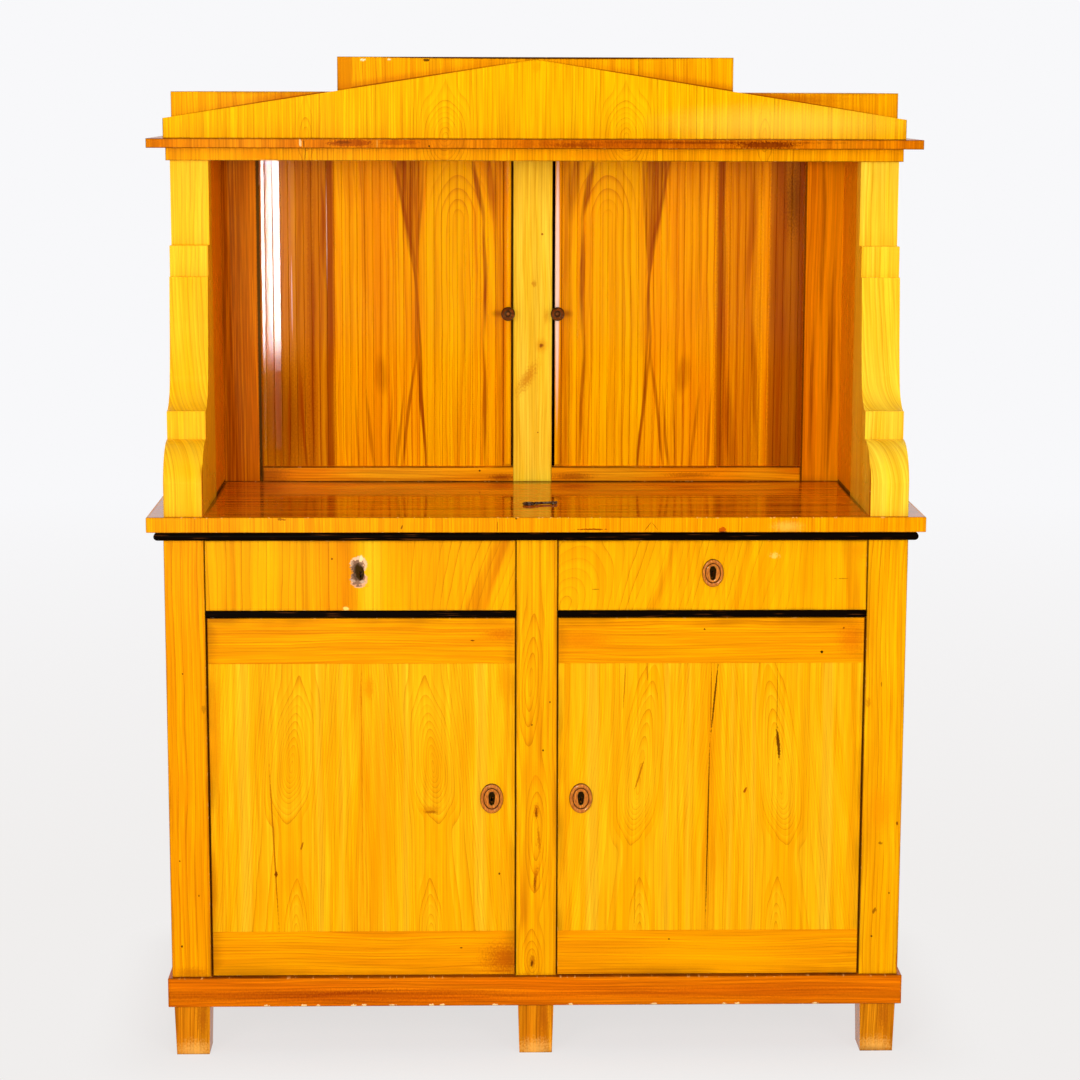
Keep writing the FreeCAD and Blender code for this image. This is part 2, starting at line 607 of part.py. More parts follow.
def make_worktop():
    """Worktop, its cross-grained lipping and the ebonised half-round moulding under it."""
    core_half = TOP_HALF - LIPPING_THICK
    core = block((-core_half, core_half), (Y_TOP + LIPPING_THICK, Y_TOP_BACK), (Z_TOP, Z_DECK))
    for side in SIDES.values():
        core = cut(core, *scroll_spigots(side, GLUE_GAP))
    keep("worktop", core)
    front = plan(mitred_front(TOP_HALF, Y_TOP, LIPPING_THICK), Z_TOP, Z_DECK)
    keep("worktop_lipping", eased(front, EASE, "y", Y_TOP))
    for side in SIDES.values():
        outline = mitred_return(side, TOP_HALF, Y_TOP, LIPPING_THICK, Y_TOP_BACK)
        keep("worktop_lipping", eased(plan(outline, Z_TOP, Z_DECK), EASE, "x", side * TOP_HALF))
    make_moulding()


def moulding_face(at, outward):
    """Face of the half-round moulding at a point on the case, standing outward."""
    radius = MOULDING_HEIGHT / 2
    up = V(0, 0, 1)
    straight = outward * (MOULDING_PROUD - radius)
    low, high = at + straight, at + straight + up * MOULDING_HEIGHT
    nose = at + outward * MOULDING_PROUD + up * radius
    edges = [Part.makeLine(at, low), Part.Arc(low, nose, high).toShape()]
    edges += [Part.makeLine(high, at + up * MOULDING_HEIGHT), Part.makeLine(at + up * MOULDING_HEIGHT, at)]
    return Part.Face(Part.Wire(edges))


def make_moulding():
    """Front strip and two returns of the half-round moulding, mitred at the corners."""
    half = CASE_HALF + MOULDING_PROUD
    y_front = Y_CASE - MOULDING_PROUD
    strip = moulding_face(V(-half, Y_CASE, Z_RAIL), V(0, -1, 0)).extrude(V(2 * half, 0, 0))
    keep("worktop_moulding", strip.common(plan(mitred_front(half, y_front, MOULDING_PROUD), Z_RAIL, Z_TOP)))
    for side in SIDES.values():
        end = moulding_face(V(side * CASE_HALF, y_front, Z_RAIL), V(side, 0, 0))
        strip = end.extrude(V(0, Y_BACK - y_front, 0))
        outline = mitred_return(side, half, y_front, MOULDING_PROUD, Y_BACK)
        keep("worktop_moulding", strip.common(plan(outline, Z_RAIL, Z_TOP)))


def scroll_spigots(side, grow=0.0):
    """Two round spigots under a scroll support."""
    x = side * (SCROLL_IN + SCROLL_OUT) / 2
    z = Z_DECK - SCROLL_SPIGOT_LENGTH - grow
    places = (Y_TOP + FOOT_FACE_SETBACK + SCROLL_SPIGOT_INSET, Y_SCROLL_BACK - SCROLL_SPIGOT_INSET)
    length = SCROLL_SPIGOT_LENGTH + grow
    return [rod(V(x, y, z), V(0, 0, 1), SCROLL_SPIGOT_RADIUS + grow, length) for y in places]


def scroll_face(x):
    """Side outline of a scroll support: bulging foot, block, flared shaft, block and neck."""
    def at(setback, height):
        return V(x, Y_TOP + setback, Z_DECK + height)

    bulge_top = at(BULGE_TOP_SETBACK, LOWER_BLOCK_BASE)
    flare_start = at(FLARE_START_SETBACK, LOWER_BLOCK_TOP)
    flare_end = at(FLARE_END_SETBACK, FLARE_END_HEIGHT)
    shaft_turn = at(SHAFT_TURN_SETBACK, SHAFT_TURN_HEIGHT)
    bulge = Part.Arc(at(FOOT_FACE_SETBACK, BULGE_START), at(BULGE_MID_SETBACK, BULGE_MID_HEIGHT), bulge_top)
    flare = Part.Arc(flare_start, at(FLARE_MID_SETBACK, FLARE_MID_HEIGHT), flare_end)
    shaft = Part.Arc(flare_end, at(SHAFT_MID_SETBACK, SHAFT_MID_HEIGHT), shaft_turn)
    lower_block = [bulge_top, at(LOWER_BLOCK_SETBACK, LOWER_BLOCK_BASE)]
    lower_block += [at(LOWER_BLOCK_SETBACK, LOWER_BLOCK_TOP), flare_start]
    upper = [shaft_turn, at(SHAFT_TOP_SETBACK, UPPER_BLOCK_BASE), at(UPPER_BLOCK_SETBACK, UPPER_BLOCK_BASE)]
    upper += [at(UPPER_BLOCK_SETBACK, UPPER_BLOCK_TOP), at(NECK_SETBACK, UPPER_BLOCK_TOP)]
    upper += [at(NECK_SETBACK, HUTCH_HEIGHT), V(x, Y_SCROLL_BACK, Z_FRIEZE), V(x, Y_SCROLL_BACK, Z_DECK)]
    upper += [at(FOOT_FACE_SETBACK, 0.0), at(FOOT_FACE_SETBACK, BULGE_START)]
    edges = [bulge.toShape()] + Part.makePolygon(lower_block).Edges
    edges += [flare.toShape(), shaft.toShape()] + Part.makePolygon(upper).Edges
    return Part.Face(Part.Wire(edges))


def make_scrolls():
    """Scroll supports, the niche walls behind them and the hutch's outer sides."""
    zs = (Z_DECK, Z_FRIEZE)
    for name, side in SIDES.items():
        xs = span(side, SCROLL_IN, SCROLL_OUT)
        body = scroll_face(min(xs)).extrude(V(SCROLL_WIDTH, 0, 0))
        keep(f"scroll_{name}", joined(body, *scroll_spigots(side)))
        keep("hutch_sides", block(span(side, WALL_IN, SCROLL_OUT), (Y_SCROLL_BACK, Y_BACK), zs))
        niche_xs = span(side, SCROLL_IN, SCROLL_IN + HUTCH_WALL_THICK)
        keep("hutch_sides", block(niche_xs, (Y_SCROLL_BACK, Y_NICHE), zs))


def track(side, z_low):
    """Groove for one tambour: along the front, round the side and along the back."""
    zs = (z_low, z_low + TRACK_DEPTH)
    lane = 2 * TRACK_HALF
    runs = [block((HUTCH_BAY_IN, BEND_X), around(Y_TRACK, lane), zs)]
    runs.append(block(around(TRACK_OUT, lane), (Y_BEND_FRONT, Y_BEND_REAR), zs))
    runs.append(block((BEND_X - REAR_RUN, BEND_X), around(Y_TRACK_REAR, lane), zs))
    for y, turn in ((Y_BEND_FRONT, -90), (Y_BEND_REAR, 0)):
        centre, up = V(BEND_X, y, z_low), V(0, 0, 1)
        outer = Part.makeCylinder(TRACK_BEND_RADIUS + TRACK_HALF, TRACK_DEPTH, centre, up, 90)
        bend = outer.cut(Part.makeCylinder(TRACK_BEND_RADIUS - TRACK_HALF, TRACK_DEPTH, centre, up, 90))
        bend.rotate(centre, up, turn)
        runs.append(bend)
    return on_side(side, joined(*runs))


def make_tambour_frame():
    """Stiles and rails round the tambours, and the grooved floor and ceiling."""
    stile_ys = (Y_NICHE, Y_STILE_BACK)
    zs = (Z_DECK, Z_FRIEZE)
    centre = block((-HUTCH_BAY_IN, HUTCH_BAY_IN), stile_ys, zs)
    keep("hutch_centre_stile", eased(centre, FINE_EASE, "y", Y_NICHE))
    for side in SIDES.values():
        stile = block(span(side, HUTCH_BAY_OUT, WALL_IN), stile_ys, zs)
        keep("hutch_side_stiles", stile)
        rail = block(span(side, HUTCH_BAY_IN, HUTCH_BAY_OUT), stile_ys, (Z_DECK, Z_HUTCH_FLOOR))
        keep("hutch_bottom_rails", eased(rail, FINE_EASE, "y", Y_NICHE))
    floor = block((-WALL_IN, WALL_IN), (Y_STILE_BACK, Y_HUTCH_BOARD), (Z_DECK, Z_HUTCH_FLOOR))
    ceiling = block((-SCROLL_OUT, SCROLL_OUT), (Y_FRIEZE_BACK, Y_BACK), (Z_FRIEZE, Z_CORNICE))
    for side in SIDES.values():
        floor = floor.cut(track(side, Z_HUTCH_FLOOR - TRACK_DEPTH))
        ceiling = ceiling.cut(track(side, Z_FRIEZE))
    keep("hutch_floor", floor)
    keep("hutch_ceiling", ceiling)


def make_hutch_lining():
    """Divider, liners that keep the contents off the tambour's path, and a shelf each side."""
    zs = (Z_HUTCH_FLOOR, Z_FRIEZE)
    shelf_zs = (Z_HUTCH_SHELF, Z_HUTCH_SHELF + HUTCH_SHELF_THICK)
    shelf_ys = (Y_LINER_FRONT + HUTCH_SHELF_SETBACK, Y_LINER)
    housings = []
    for side in SIDES.values():
        shelf_xs = span(side, HUTCH_DIVIDER_HALF - HOUSING, LINER_IN + HOUSING)
        keep("hutch_shelves", block(widened(shelf_xs, -GLUE_GAP), shelf_ys, shelf_zs))
        housings.append(block(shelf_xs, widened(shelf_ys, GLUE_GAP), shelf_zs))
    divider = block((-HUTCH_DIVIDER_HALF, HUTCH_DIVIDER_HALF), (Y_STILE_BACK, Y_HUTCH_BOARD), zs)
    keep("hutch_lining", cut(divider, *housings))
    for side in SIDES.values():
        wall = block(span(side, LINER_IN, LINER_OUT), (Y_LINER_FRONT, Y_LINER_REAR), zs)
        keep("hutch_lining", cut(wall, *housings))
        keep("hutch_lining", block(span(side, HUTCH_DIVIDER_HALF, LINER_IN), (Y_LINER, Y_LINER_REAR), zs))


def slat(side, near, far):
    """Upright slat whose front edges are chamfered."""
    points = [(near, Y_SLAT_BACK), (far, Y_SLAT_BACK), (far, Y_SLAT + SLAT_CHAMFER)]
    points += [(far - SLAT_CHAMFER, Y_SLAT), (near + SLAT_CHAMFER, Y_SLAT), (near, Y_SLAT + SLAT_CHAMFER)]
    return plan([(side * x, y) for x, y in points], Z_SLAT, Z_SLAT_TOP)


def knob(side):
    """Turned knob with a slim neck and a domed head, spigoted into the lead slat."""
    y_base = Y_NICHE - KNOB_CLEARANCE
    y_tip = y_base - KNOB_HEAD_LENGTH
    def at(radius, y):
        return V(side * KNOB_X + radius, y, KNOB_Z)

    diagonal = math.sqrt(0.5)
    tip, rim = at(0, y_tip), at(KNOB_RADIUS, y_base - KNOB_SHOULDER)
    dome_mid = at(KNOB_RADIUS * diagonal, y_tip + (KNOB_HEAD_LENGTH - KNOB_SHOULDER) * (1 - diagonal))
    y_spigot = Y_LEAD + KNOB_SPIGOT_LENGTH
    stem = [rim, at(KNOB_NECK_RADIUS, y_base), at(KNOB_NECK_RADIUS, Y_LEAD), at(KNOB_SPIGOT_RADIUS, Y_LEAD)]
    stem += [at(KNOB_SPIGOT_RADIUS, y_spigot), at(0, y_spigot), tip]
    edges = [Part.Arc(tip, dome_mid, rim).toShape()] + Part.makePolygon(stem).Edges
    face = Part.Face(Part.Wire(edges))
    return face.revolve(V(side * KNOB_X, y_tip, KNOB_Z), V(0, 1, 0), 360)


def make_tambours():
    """Slats on their canvas, and the lead slat with its knob, for each tambour."""
    for name, side in SIDES.items():
        for i in range(SLAT_COUNT):
            near = LEAD_OUT + i * SLAT_PITCH
            keep(f"tambour_{name}_curtain", slat(side, near + SLAT_GAP, near + SLAT_PITCH - SLAT_GAP))
        canvas_zs = (Z_HUTCH_FLOOR + CANVAS_MARGIN, Z_FRIEZE - CANVAS_MARGIN)
        canvas_ys = (Y_SLAT_BACK, Y_SLAT_BACK + CANVAS_THICK)
        canvas_xs = span(side, LEAD_OUT + SLAT_GAP, CURTAIN_OUT)
        keep(f"tambour_{name}_curtain", block(canvas_xs, canvas_ys, canvas_zs))
        xs = span(side, LEAD_IN, LEAD_OUT)
        stem = block(xs, (Y_SLAT, Y_SLAT_BACK), (Z_SLAT, Z_SLAT_TOP))
        nosing_zs = (Z_HUTCH_FLOOR + NOSING_CLEARANCE, Z_FRIEZE - NOSING_CLEARANCE)
        nosing = eased(block(xs, (Y_LEAD, Y_SLAT), nosing_zs), SLAT_CHAMFER, "y", Y_LEAD)
        seat_length = KNOB_SPIGOT_LENGTH + GLUE_GAP
        seat = rod(V(side * KNOB_X, Y_LEAD, KNOB_Z), V(0, 1, 0), KNOB_SPIGOT_RADIUS + GLUE_GAP, seat_length)
        keep(f"tambour_{name}_lead", cut(joined(stem, nosing), seat))
        keep(f"tambour_{name}_knob", knob(side))


def hollow_box(half, y_front, zs):
    """Front, two sides, rear and top of an open-bottomed box of boards."""
    inner = half - ATTIC_WALL
    y_inner, y_rear = y_front + ATTIC_WALL, Y_BACK - ATTIC_WALL
    front = eased(block((-half, half), (y_front, y_inner), zs), EASE, "y", y_front)
    sides = [block(span(side, inner, half), (y_inner, Y_BACK), zs) for side in SIDES.values()]
    rear = block((-inner, inner), (y_rear, Y_BACK), zs)
    top = block((-inner, inner), (y_inner, y_rear), (zs[1] - ATTIC_TOP_THICK, zs[1]))
    return [front, rear, top] + sides


def make_crown():
    """Frieze, cornice, pediment and the two steps of the attic."""
    frieze_half = SCROLL_OUT + FRIEZE_RETURN
    frieze_zs = (Z_FRIEZE, Z_CORNICE)
    keep("frieze", block((-frieze_half, frieze_half), (Y_FRIEZE, Y_FRIEZE_BACK), frieze_zs))
    for side in SIDES.values():
        keep("frieze", block(span(side, SCROLL_OUT, frieze_half), (Y_FRIEZE_BACK, Y_BACK), frieze_zs))
    cornice_half = SCROLL_OUT + CORNICE_SIDE_OVERHANG
    y_cornice = Y_FRIEZE - CORNICE_FRONT_OVERHANG
    cornice = block((-cornice_half, cornice_half), (y_cornice, Y_BACK), (Z_CORNICE, Z_CROWN))
    keep("cornice", eased(cornice, EASE, "y", y_cornice))
    half = SCROLL_OUT + PEDIMENT_SIDE_OVERHANG
    end, apex = Z_CROWN + PEDIMENT_END_HEIGHT, Z_CROWN + PEDIMENT_APEX_HEIGHT
    gable = [(-half, Z_CROWN), (half, Z_CROWN), (half, end), (0.0, apex), (-half, end)]
    board = prism([V(x, Y_FRIEZE, z) for x, z in gable], V(0, PEDIMENT_THICK, 0))
    keep("pediment", eased(board, FINE_EASE, "y", Y_FRIEZE))
    keep("attic_lower", *hollow_box(ATTIC_LOWER_HALF, Y_ATTIC, (Z_CROWN, Z_ATTIC)))
    keep("attic_upper", *hollow_box(ATTIC_UPPER_HALF, Y_ATTIC, (Z_ATTIC, Z_ATTIC + ATTIC_UPPER_HEIGHT)))


def keyhole(x, z, y_front, y_back):
    """Keyhole that runs from a front plane to a back plane."""
    eye = rod(V(x, y_front, z), V(0, 1, 0), KEYHOLE_RADIUS, y_back - y_front)
    return joined(eye, block(around(x, KEYHOLE_SLOT), (y_front, y_back), (z - KEYHOLE_DROP, z)))


def oval(x, z, width, height, y_front, thick):
    """Upright oval disc, taller than wide, that faces the front."""
    outline = Part.Ellipse(V(x, y_front, z + height / 2), V(x + width / 2, y_front, z), V(x, y_front, z))
    return Part.Face(Part.Wire([outline.toShape()])).extrude(V(0, thick, 0))


def escutcheon(x, z, width, height, y_face):
    """Oval keyhole plate with a raised rim, standing on a face."""
    rim = oval(x, z, width, height, y_face - ESCUTCHEON_RIM, ESCUTCHEON_RIM)
    well_width, well_height = width - 2 * ESCUTCHEON_RIM_WIDTH, height - 2 * ESCUTCHEON_RIM_WIDTH
    well = oval(x, z, well_width, well_height, y_face - ESCUTCHEON_RIM, ESCUTCHEON_RIM - ESCUTCHEON_PLATE)
    return cut(rim, well, keyhole(x, z, y_face - ESCUTCHEON_RIM, y_face))


def door_board(side, xs, inner):
    """One upright board of a door, with tongues for the rails and for its neighbour."""
    y_middle = (Y_DOOR + Y_DOOR_BACK) / 2
    lip_ys = around(y_middle, TONGUE_THICK)
    zs = (Z_DOOR_BOARD, Z_DOOR_BOARD_TOP)
    board = eased(block(span(side, *xs), (Y_DOOR, Y_DOOR_BACK), zs), FINE_EASE, "y", Y_DOOR)
    long_zs = widened(zs, DOOR_TONGUE_LENGTH)
    rail_tongue = block(span(side, *xs), lip_ys, long_zs)
    if inner:
        edge_tongue = block(span(side, DOOR_MIDDLE, DOOR_MIDDLE + TONGUE_LENGTH), lip_ys, zs)
        return joined(board, rail_tongue, edge_tongue)
    groove_xs = span(side, DOOR_MIDDLE, DOOR_MIDDLE + TONGUE_LENGTH + GLUE_GAP)
    return cut(joined(board, rail_tongue), block(groove_xs, widened(lip_ys, GLUE_GAP), zs))


def make_door(name, side):
    """Door of two boards between cross-grained rails, on pivots, with lock, bolt and escutcheon."""
    y_middle = (Y_DOOR + Y_DOOR_BACK) / 2
    xs = span(side, DOOR_IN, DOOR_OUT)
    hole = keyhole(side * DOOR_KEY_X, DOOR_KEY_Z, Y_DOOR, Y_DOOR_BACK + LOCK_THICK / 2)
    nose = hinge_edge_waste(side)
    inner = cut(door_board(side, (DOOR_IN, DOOR_MIDDLE), True), hole)
    keep(f"door_{name}_boards", inner, cut(door_board(side, (DOOR_MIDDLE, DOOR_OUT), False), nose))
    groove_ys = widened(around(y_middle, TONGUE_THICK), GLUE_GAP)
    reach = DOOR_TONGUE_LENGTH + GLUE_GAP
    for z_edge, z_joint, grow in ((Z_DOOR, Z_DOOR_BOARD, -reach), (Z_DOOR_TOP, Z_DOOR_BOARD_TOP, reach)):
        rail = eased(block(xs, (Y_DOOR, Y_DOOR_BACK), (z_edge, z_joint)), FINE_EASE, "y", Y_DOOR)
        keep(f"door_{name}_rails", cut(rail, nose, block(xs, groove_ys, (z_joint, z_joint + grow)),
                                       pivot_plate(side, pivot_plate_level(z_edge), GLUE_GAP)))
    keep(f"door_{name}_ironwork", *[door_pivot(side, z_edge) for z_edge in (Z_DOOR, Z_DOOR_TOP)])
    case_xs = span(side, DOOR_IN, DOOR_IN + LOCK_WIDTH)
    case_z = DOOR_KEY_Z - LOCK_BELOW_KEYHOLE
    case = block(case_xs, (Y_DOOR_BACK, Y_DOOR_BACK + LOCK_THICK), (case_z, case_z + DOOR_LOCK_HEIGHT))
    keep(f"door_{name}_ironwork", cut(case, hole, door_bolt(side, BOLT_GAP)))
    keep(f"door_{name}_bolt", door_bolt(side))
    keep(f"door_{name}_escutcheon", escutcheon(side * DOOR_KEY_X, DOOR_KEY_Z, DOOR_ESCUTCHEON_WIDTH,
                                               DOOR_ESCUTCHEON_HEIGHT, Y_DOOR))


def hinge_edge_waste(side):
    """What is planed off a door's front hinge edge to round it, so that it clears the post."""
    corner = block(span(side, DOOR_OUT - DOOR_EDGE_RADIUS, DOOR_OUT + DOOR_EDGE_RADIUS),
                   (Y_DOOR - DOOR_EDGE_RADIUS, Y_DOOR + DOOR_EDGE_RADIUS), (Z_DOOR, Z_DOOR_TOP))
    centre = V(side * (DOOR_OUT - DOOR_EDGE_RADIUS), Y_DOOR + DOOR_EDGE_RADIUS, Z_DOOR)
    return corner.cut(rod(centre, V(0, 0, 1), DOOR_EDGE_RADIUS, Z_DOOR_TOP - Z_DOOR))


def pivot_plate_level(z_edge):
    """Lower face of the pivot plate that is let in flush with a door's top or bottom edge."""
    return z_edge if z_edge == Z_DOOR else z_edge - PIVOT_PLATE_THICK


def door_pivot(side, z_edge):
    """Pivot plate let into a door's edge, with the pin that turns in the case."""
    plate = pivot_plate(side, pivot_plate_level(z_edge))
    outward = -1 if z_edge == Z_DOOR else 1
    length = DOOR_GAP + PIVOT_PLATE_THICK + PIVOT_ENTRY
    pin = rod(V(side * PIVOT_X, PIVOT_Y, z_edge), V(0, 0, outward), PIVOT_RADIUS, length)
    return joined(plate, pin)


def make_pivot_sockets():
    """Socket plates let into the plinth and the dividers, in which the door pivots turn."""
    for side in SIDES.values():
        for z_low in (Z_CASE - PIVOT_PLATE_THICK, Z_DIVIDER):
            plate = pivot_plate(side, z_low)
            keep("pivot_sockets", plate.cut(pivot_socket(side, z_low, PIVOT_PLATE_THICK)))


def drawer_tails(side, side_out, grow=0.0):
    """Dovetails at the front of a drawer side whose outer face is at side_out."""
    pitch = (Z_DRAWER_SIDE_TOP - Z_DRAWER_SIDE) / TAIL_COUNT
    y_tip = Y_DRAWER_BACK - TAIL_LENGTH - grow
    tails = []
    for i in range(TAIL_COUNT):
        z = Z_DRAWER_SIDE + (i + 0.5) * pitch
        root, tip = TAIL_ROOT / 2 + grow, TAIL_TIP / 2 + grow
        outline = [(Y_DRAWER_BACK, z - root), (Y_DRAWER_BACK, z + root), (y_tip, z + tip), (y_tip, z - tip)]
        thick = math.copysign(DRAWER_SIDE_THICK + grow, DRAWER_KEY_X - side_out)
        tails.append(prism([V(side * side_out, y, zz) for y, zz in outline], V(side * thick, 0, 0)))
    return tails


def make_drawer(name, side):
    """Drawer with a dovetailed front, housed back, sliding bottom, lock and bolt."""
    y_back = Y_DRAWER_END - DRAWER_BACK_SETBACK
    side_zs = (Z_DRAWER_SIDE, Z_DRAWER_SIDE_TOP)
    bottom_zs = (Z_DRAWER_BOTTOM, Z_DRAWER_BOTTOM + DRAWER_BOTTOM_THICK)
    inner_face, outer_face = DRAWER_IN + DRAWER_SIDE_THICK, DRAWER_OUT - DRAWER_SIDE_THICK
    bottom_xs = span(side, inner_face - DRAWER_GROOVE, outer_face + DRAWER_GROOVE)
    bottom_ys = (Y_DRAWER_BACK - DRAWER_GROOVE, Y_DRAWER_END)
    bottom_room = block(bottom_xs, bottom_ys, widened(bottom_zs, GLUE_GAP))
    back_ys = (y_back - DRAWER_BACK_THICK, y_back)
    back_xs = span(side, inner_face - DRAWER_GROOVE, outer_face + DRAWER_GROOVE)
    back_room = block(back_xs, widened(back_ys, GLUE_GAP), (bottom_zs[0], side_zs[1]))
    front_zs = (Z_DRAWER_FRONT, Z_DRAWER_FRONT_TOP)
    front = block(span(side, DRAWER_IN, DRAWER_OUT), (Y_CASE, Y_DRAWER_BACK), front_zs)
    front = cut(eased(front, FINE_EASE, "y", Y_CASE), bottom_room)
    for face in (DRAWER_IN, DRAWER_OUT):
        front = cut(front, *drawer_tails(side, face, GLUE_GAP))
        thick = math.copysign(DRAWER_SIDE_THICK, DRAWER_KEY_X - face)
        wall = block(span(side, face, face + thick), (Y_DRAWER_BACK, Y_DRAWER_END), side_zs)
        keep(f"drawer_{name}_box", cut(joined(wall, *drawer_tails(side, face)), bottom_room, back_room))
    back = block(widened(back_xs, -GLUE_GAP), back_ys, (bottom_zs[1] + GLUE_GAP, side_zs[1]))
    bottom = block(widened(bottom_xs, -GLUE_GAP), widened(bottom_ys, -GLUE_GAP), bottom_zs)
    keep(f"drawer_{name}_box", back, bottom)
    key_x = side * DRAWER_KEY_X
    hole = keyhole(key_x, DRAWER_KEY_Z, Y_CASE, Y_DRAWER_BACK + LOCK_THICK / 2)
    if name == "left":
        front = front.cut(escutcheon_scar(key_x, DRAWER_KEY_Z))
    else:
        keep(f"drawer_{name}_escutcheon", escutcheon(key_x, DRAWER_KEY_Z, DRAWER_ESCUTCHEON_WIDTH,
                                                    DRAWER_ESCUTCHEON_HEIGHT, Y_CASE))
    keep(f"drawer_{name}_front", front.cut(hole))
    case_zs = (DRAWER_KEY_Z - LOCK_BELOW_KEYHOLE, Z_DRAWER_FRONT_TOP)
    case = block(around(key_x, LOCK_WIDTH), (Y_DRAWER_BACK, Y_DRAWER_BACK + LOCK_THICK), case_zs)
    keep(f"drawer_{name}_lock", cut(case, hole, drawer_bolt(side, BOLT_GAP)))
    keep(f"drawer_{name}_bolt", drawer_bolt(side))


def escutcheon_scar(x, z):
    """Shallow ragged bed where a drawer's keyhole plate was let in and is now lost."""
    half, tall = SCAR_WIDTH / 2, SCAR_HEIGHT / 2
    ragged = [(-0.8, -1.0), (0.1, -0.9), (0.9, -1.0), (0.85, -0.3), (1.0, 0.4)]
    ragged += [(0.8, 0.95), (0.0, 1.0), (-0.9, 0.9), (-1.0, 0.1), (-0.85, -0.4)]
    outline = [V(x + u * half, Y_CASE, z + w * tall) for u, w in ragged]
    return prism(outline, V(0, SCAR_DEPTH, 0))


def make_key():
    """Iron key with a ring bow and a flat bit, lying on the worktop."""
    z = Z_DECK + KEY_RADIUS + GLUE_GAP
    bow_x = -KEY_LENGTH / 2 + KEY_BOW_RADIUS + KEY_RADIUS
    bow = Part.makeTorus(KEY_BOW_RADIUS, KEY_RADIUS, V(bow_x, 0, z))
    stem_x = bow_x + KEY_BOW_RADIUS
    stem = rod(V(stem_x, 0, z), V(1, 0, 0), KEY_RADIUS, KEY_LENGTH / 2 - stem_x)
    bit_end = KEY_LENGTH / 2 - KEY_TIP
    bit = block((bit_end - KEY_BIT_WIDTH, bit_end), (-KEY_BIT_LENGTH, 0), around(z, KEY_BIT_THICK))
    key = joined(bow, stem, bit)
    key.rotate(V(0, 0, 0), V(0, 0, 1), KEY_TURN)
    key.translate(V(KEY_X, Y_TOP + KEY_SETBACK, 0))
    keep("key", key)


def main():
    """Build every piece and write one file for each node."""
    make_base()
    make_posts()
    make_panels()
    make_drawer_frame()
    make_shelves()
    make_worktop()
    make_scrolls()
    make_tambour_frame()
    make_hutch_lining()
    make_tambours()
    make_crown()
    make_pivot_sockets()
    for name, side in SIDES.items():
        make_door(name, side)
        make_drawer(name, side)
    make_key()
    os.makedirs("parts", exist_ok=True)
    for name, solids in nodes.items():
        Part.makeCompound(solids).exportStep(f"parts/{name}.step")


main()
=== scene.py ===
"""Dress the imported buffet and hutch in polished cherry, ebonised lines, turned wood and forged iron.

Every length is in metres, as in the frame, unless its name ends in _mm. X runs to the right, Y to the back
and Z up.
"""
import logging
import math
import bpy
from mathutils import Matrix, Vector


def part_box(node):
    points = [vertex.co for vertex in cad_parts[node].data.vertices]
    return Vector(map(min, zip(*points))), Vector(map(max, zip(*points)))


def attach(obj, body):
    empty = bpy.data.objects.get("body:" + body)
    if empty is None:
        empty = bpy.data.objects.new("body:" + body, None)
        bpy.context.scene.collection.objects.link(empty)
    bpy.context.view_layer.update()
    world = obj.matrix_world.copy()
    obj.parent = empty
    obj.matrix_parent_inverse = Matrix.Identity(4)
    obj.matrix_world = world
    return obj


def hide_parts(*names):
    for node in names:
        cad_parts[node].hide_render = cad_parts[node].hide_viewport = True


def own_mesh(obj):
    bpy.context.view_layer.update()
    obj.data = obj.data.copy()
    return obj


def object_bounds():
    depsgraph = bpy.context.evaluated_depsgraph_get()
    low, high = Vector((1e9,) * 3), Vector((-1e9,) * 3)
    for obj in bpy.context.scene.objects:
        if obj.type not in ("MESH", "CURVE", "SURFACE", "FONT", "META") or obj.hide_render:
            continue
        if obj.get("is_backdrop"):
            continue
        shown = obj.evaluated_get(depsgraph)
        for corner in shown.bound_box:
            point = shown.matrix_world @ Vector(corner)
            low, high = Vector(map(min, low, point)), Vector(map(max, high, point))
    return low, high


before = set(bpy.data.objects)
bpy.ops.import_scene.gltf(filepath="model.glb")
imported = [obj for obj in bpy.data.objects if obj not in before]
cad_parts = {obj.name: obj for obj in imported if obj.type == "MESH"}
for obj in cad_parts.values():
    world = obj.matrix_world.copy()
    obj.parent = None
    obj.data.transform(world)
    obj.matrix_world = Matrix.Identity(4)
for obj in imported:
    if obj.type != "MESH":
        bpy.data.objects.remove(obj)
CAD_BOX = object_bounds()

import zlib
from collections.abc import Iterable
from dataclasses import dataclass, field, replace
from enum import Enum
from typing import Union

import bmesh
import bpy
import numpy as np
from mathutils import Matrix

MM = 0.001
WELD_MM = 0.001
IMAGE_PIXELS = 1080
LOG = logging.getLogger("buffet")
Socket = bpy.types.NodeSocket
Feed = Union[Socket, float, tuple]
Row = tuple[float, float, float]

# Settings that many nodes share: a mix of two colours, and a range with soft ends.
COLOURS = {"out": 2, "data_type": "RGBA"}
SMOOTH = {"interpolation_type": "SMOOTHSTEP"}


def linear(colour: str) -> tuple[float, float, float, float]:
    """Turn an sRGB hex colour into linear light.

    Args:
        colour: Six hex digits after a hash sign.

    Returns:
        Red, green, blue and an alpha of one.
    """
    srgb = np.array([int(colour[i : i + 2], 16) for i in (1, 3, 5)]) / 255.0
    light = np.where(srgb <= 0.04045, srgb / 12.92, ((srgb + 0.055) / 1.055) ** 2.4)
    return (*light.tolist(), 1.0)


def seed_of(name: str) -> float:
    """A number between 0 and 100 that is always the same for a name."""
    return zlib.crc32(name.encode()) % 1000 / 10.0


def corners(node: str) -> np.ndarray:
    """Lowest and highest corner of a node at rest, as two rows."""
    return np.array(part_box(node))


def middle_mm(node: str) -> np.ndarray:
    """Middle of a node at rest, in millimetres."""
    return corners(node).mean(0) / MM


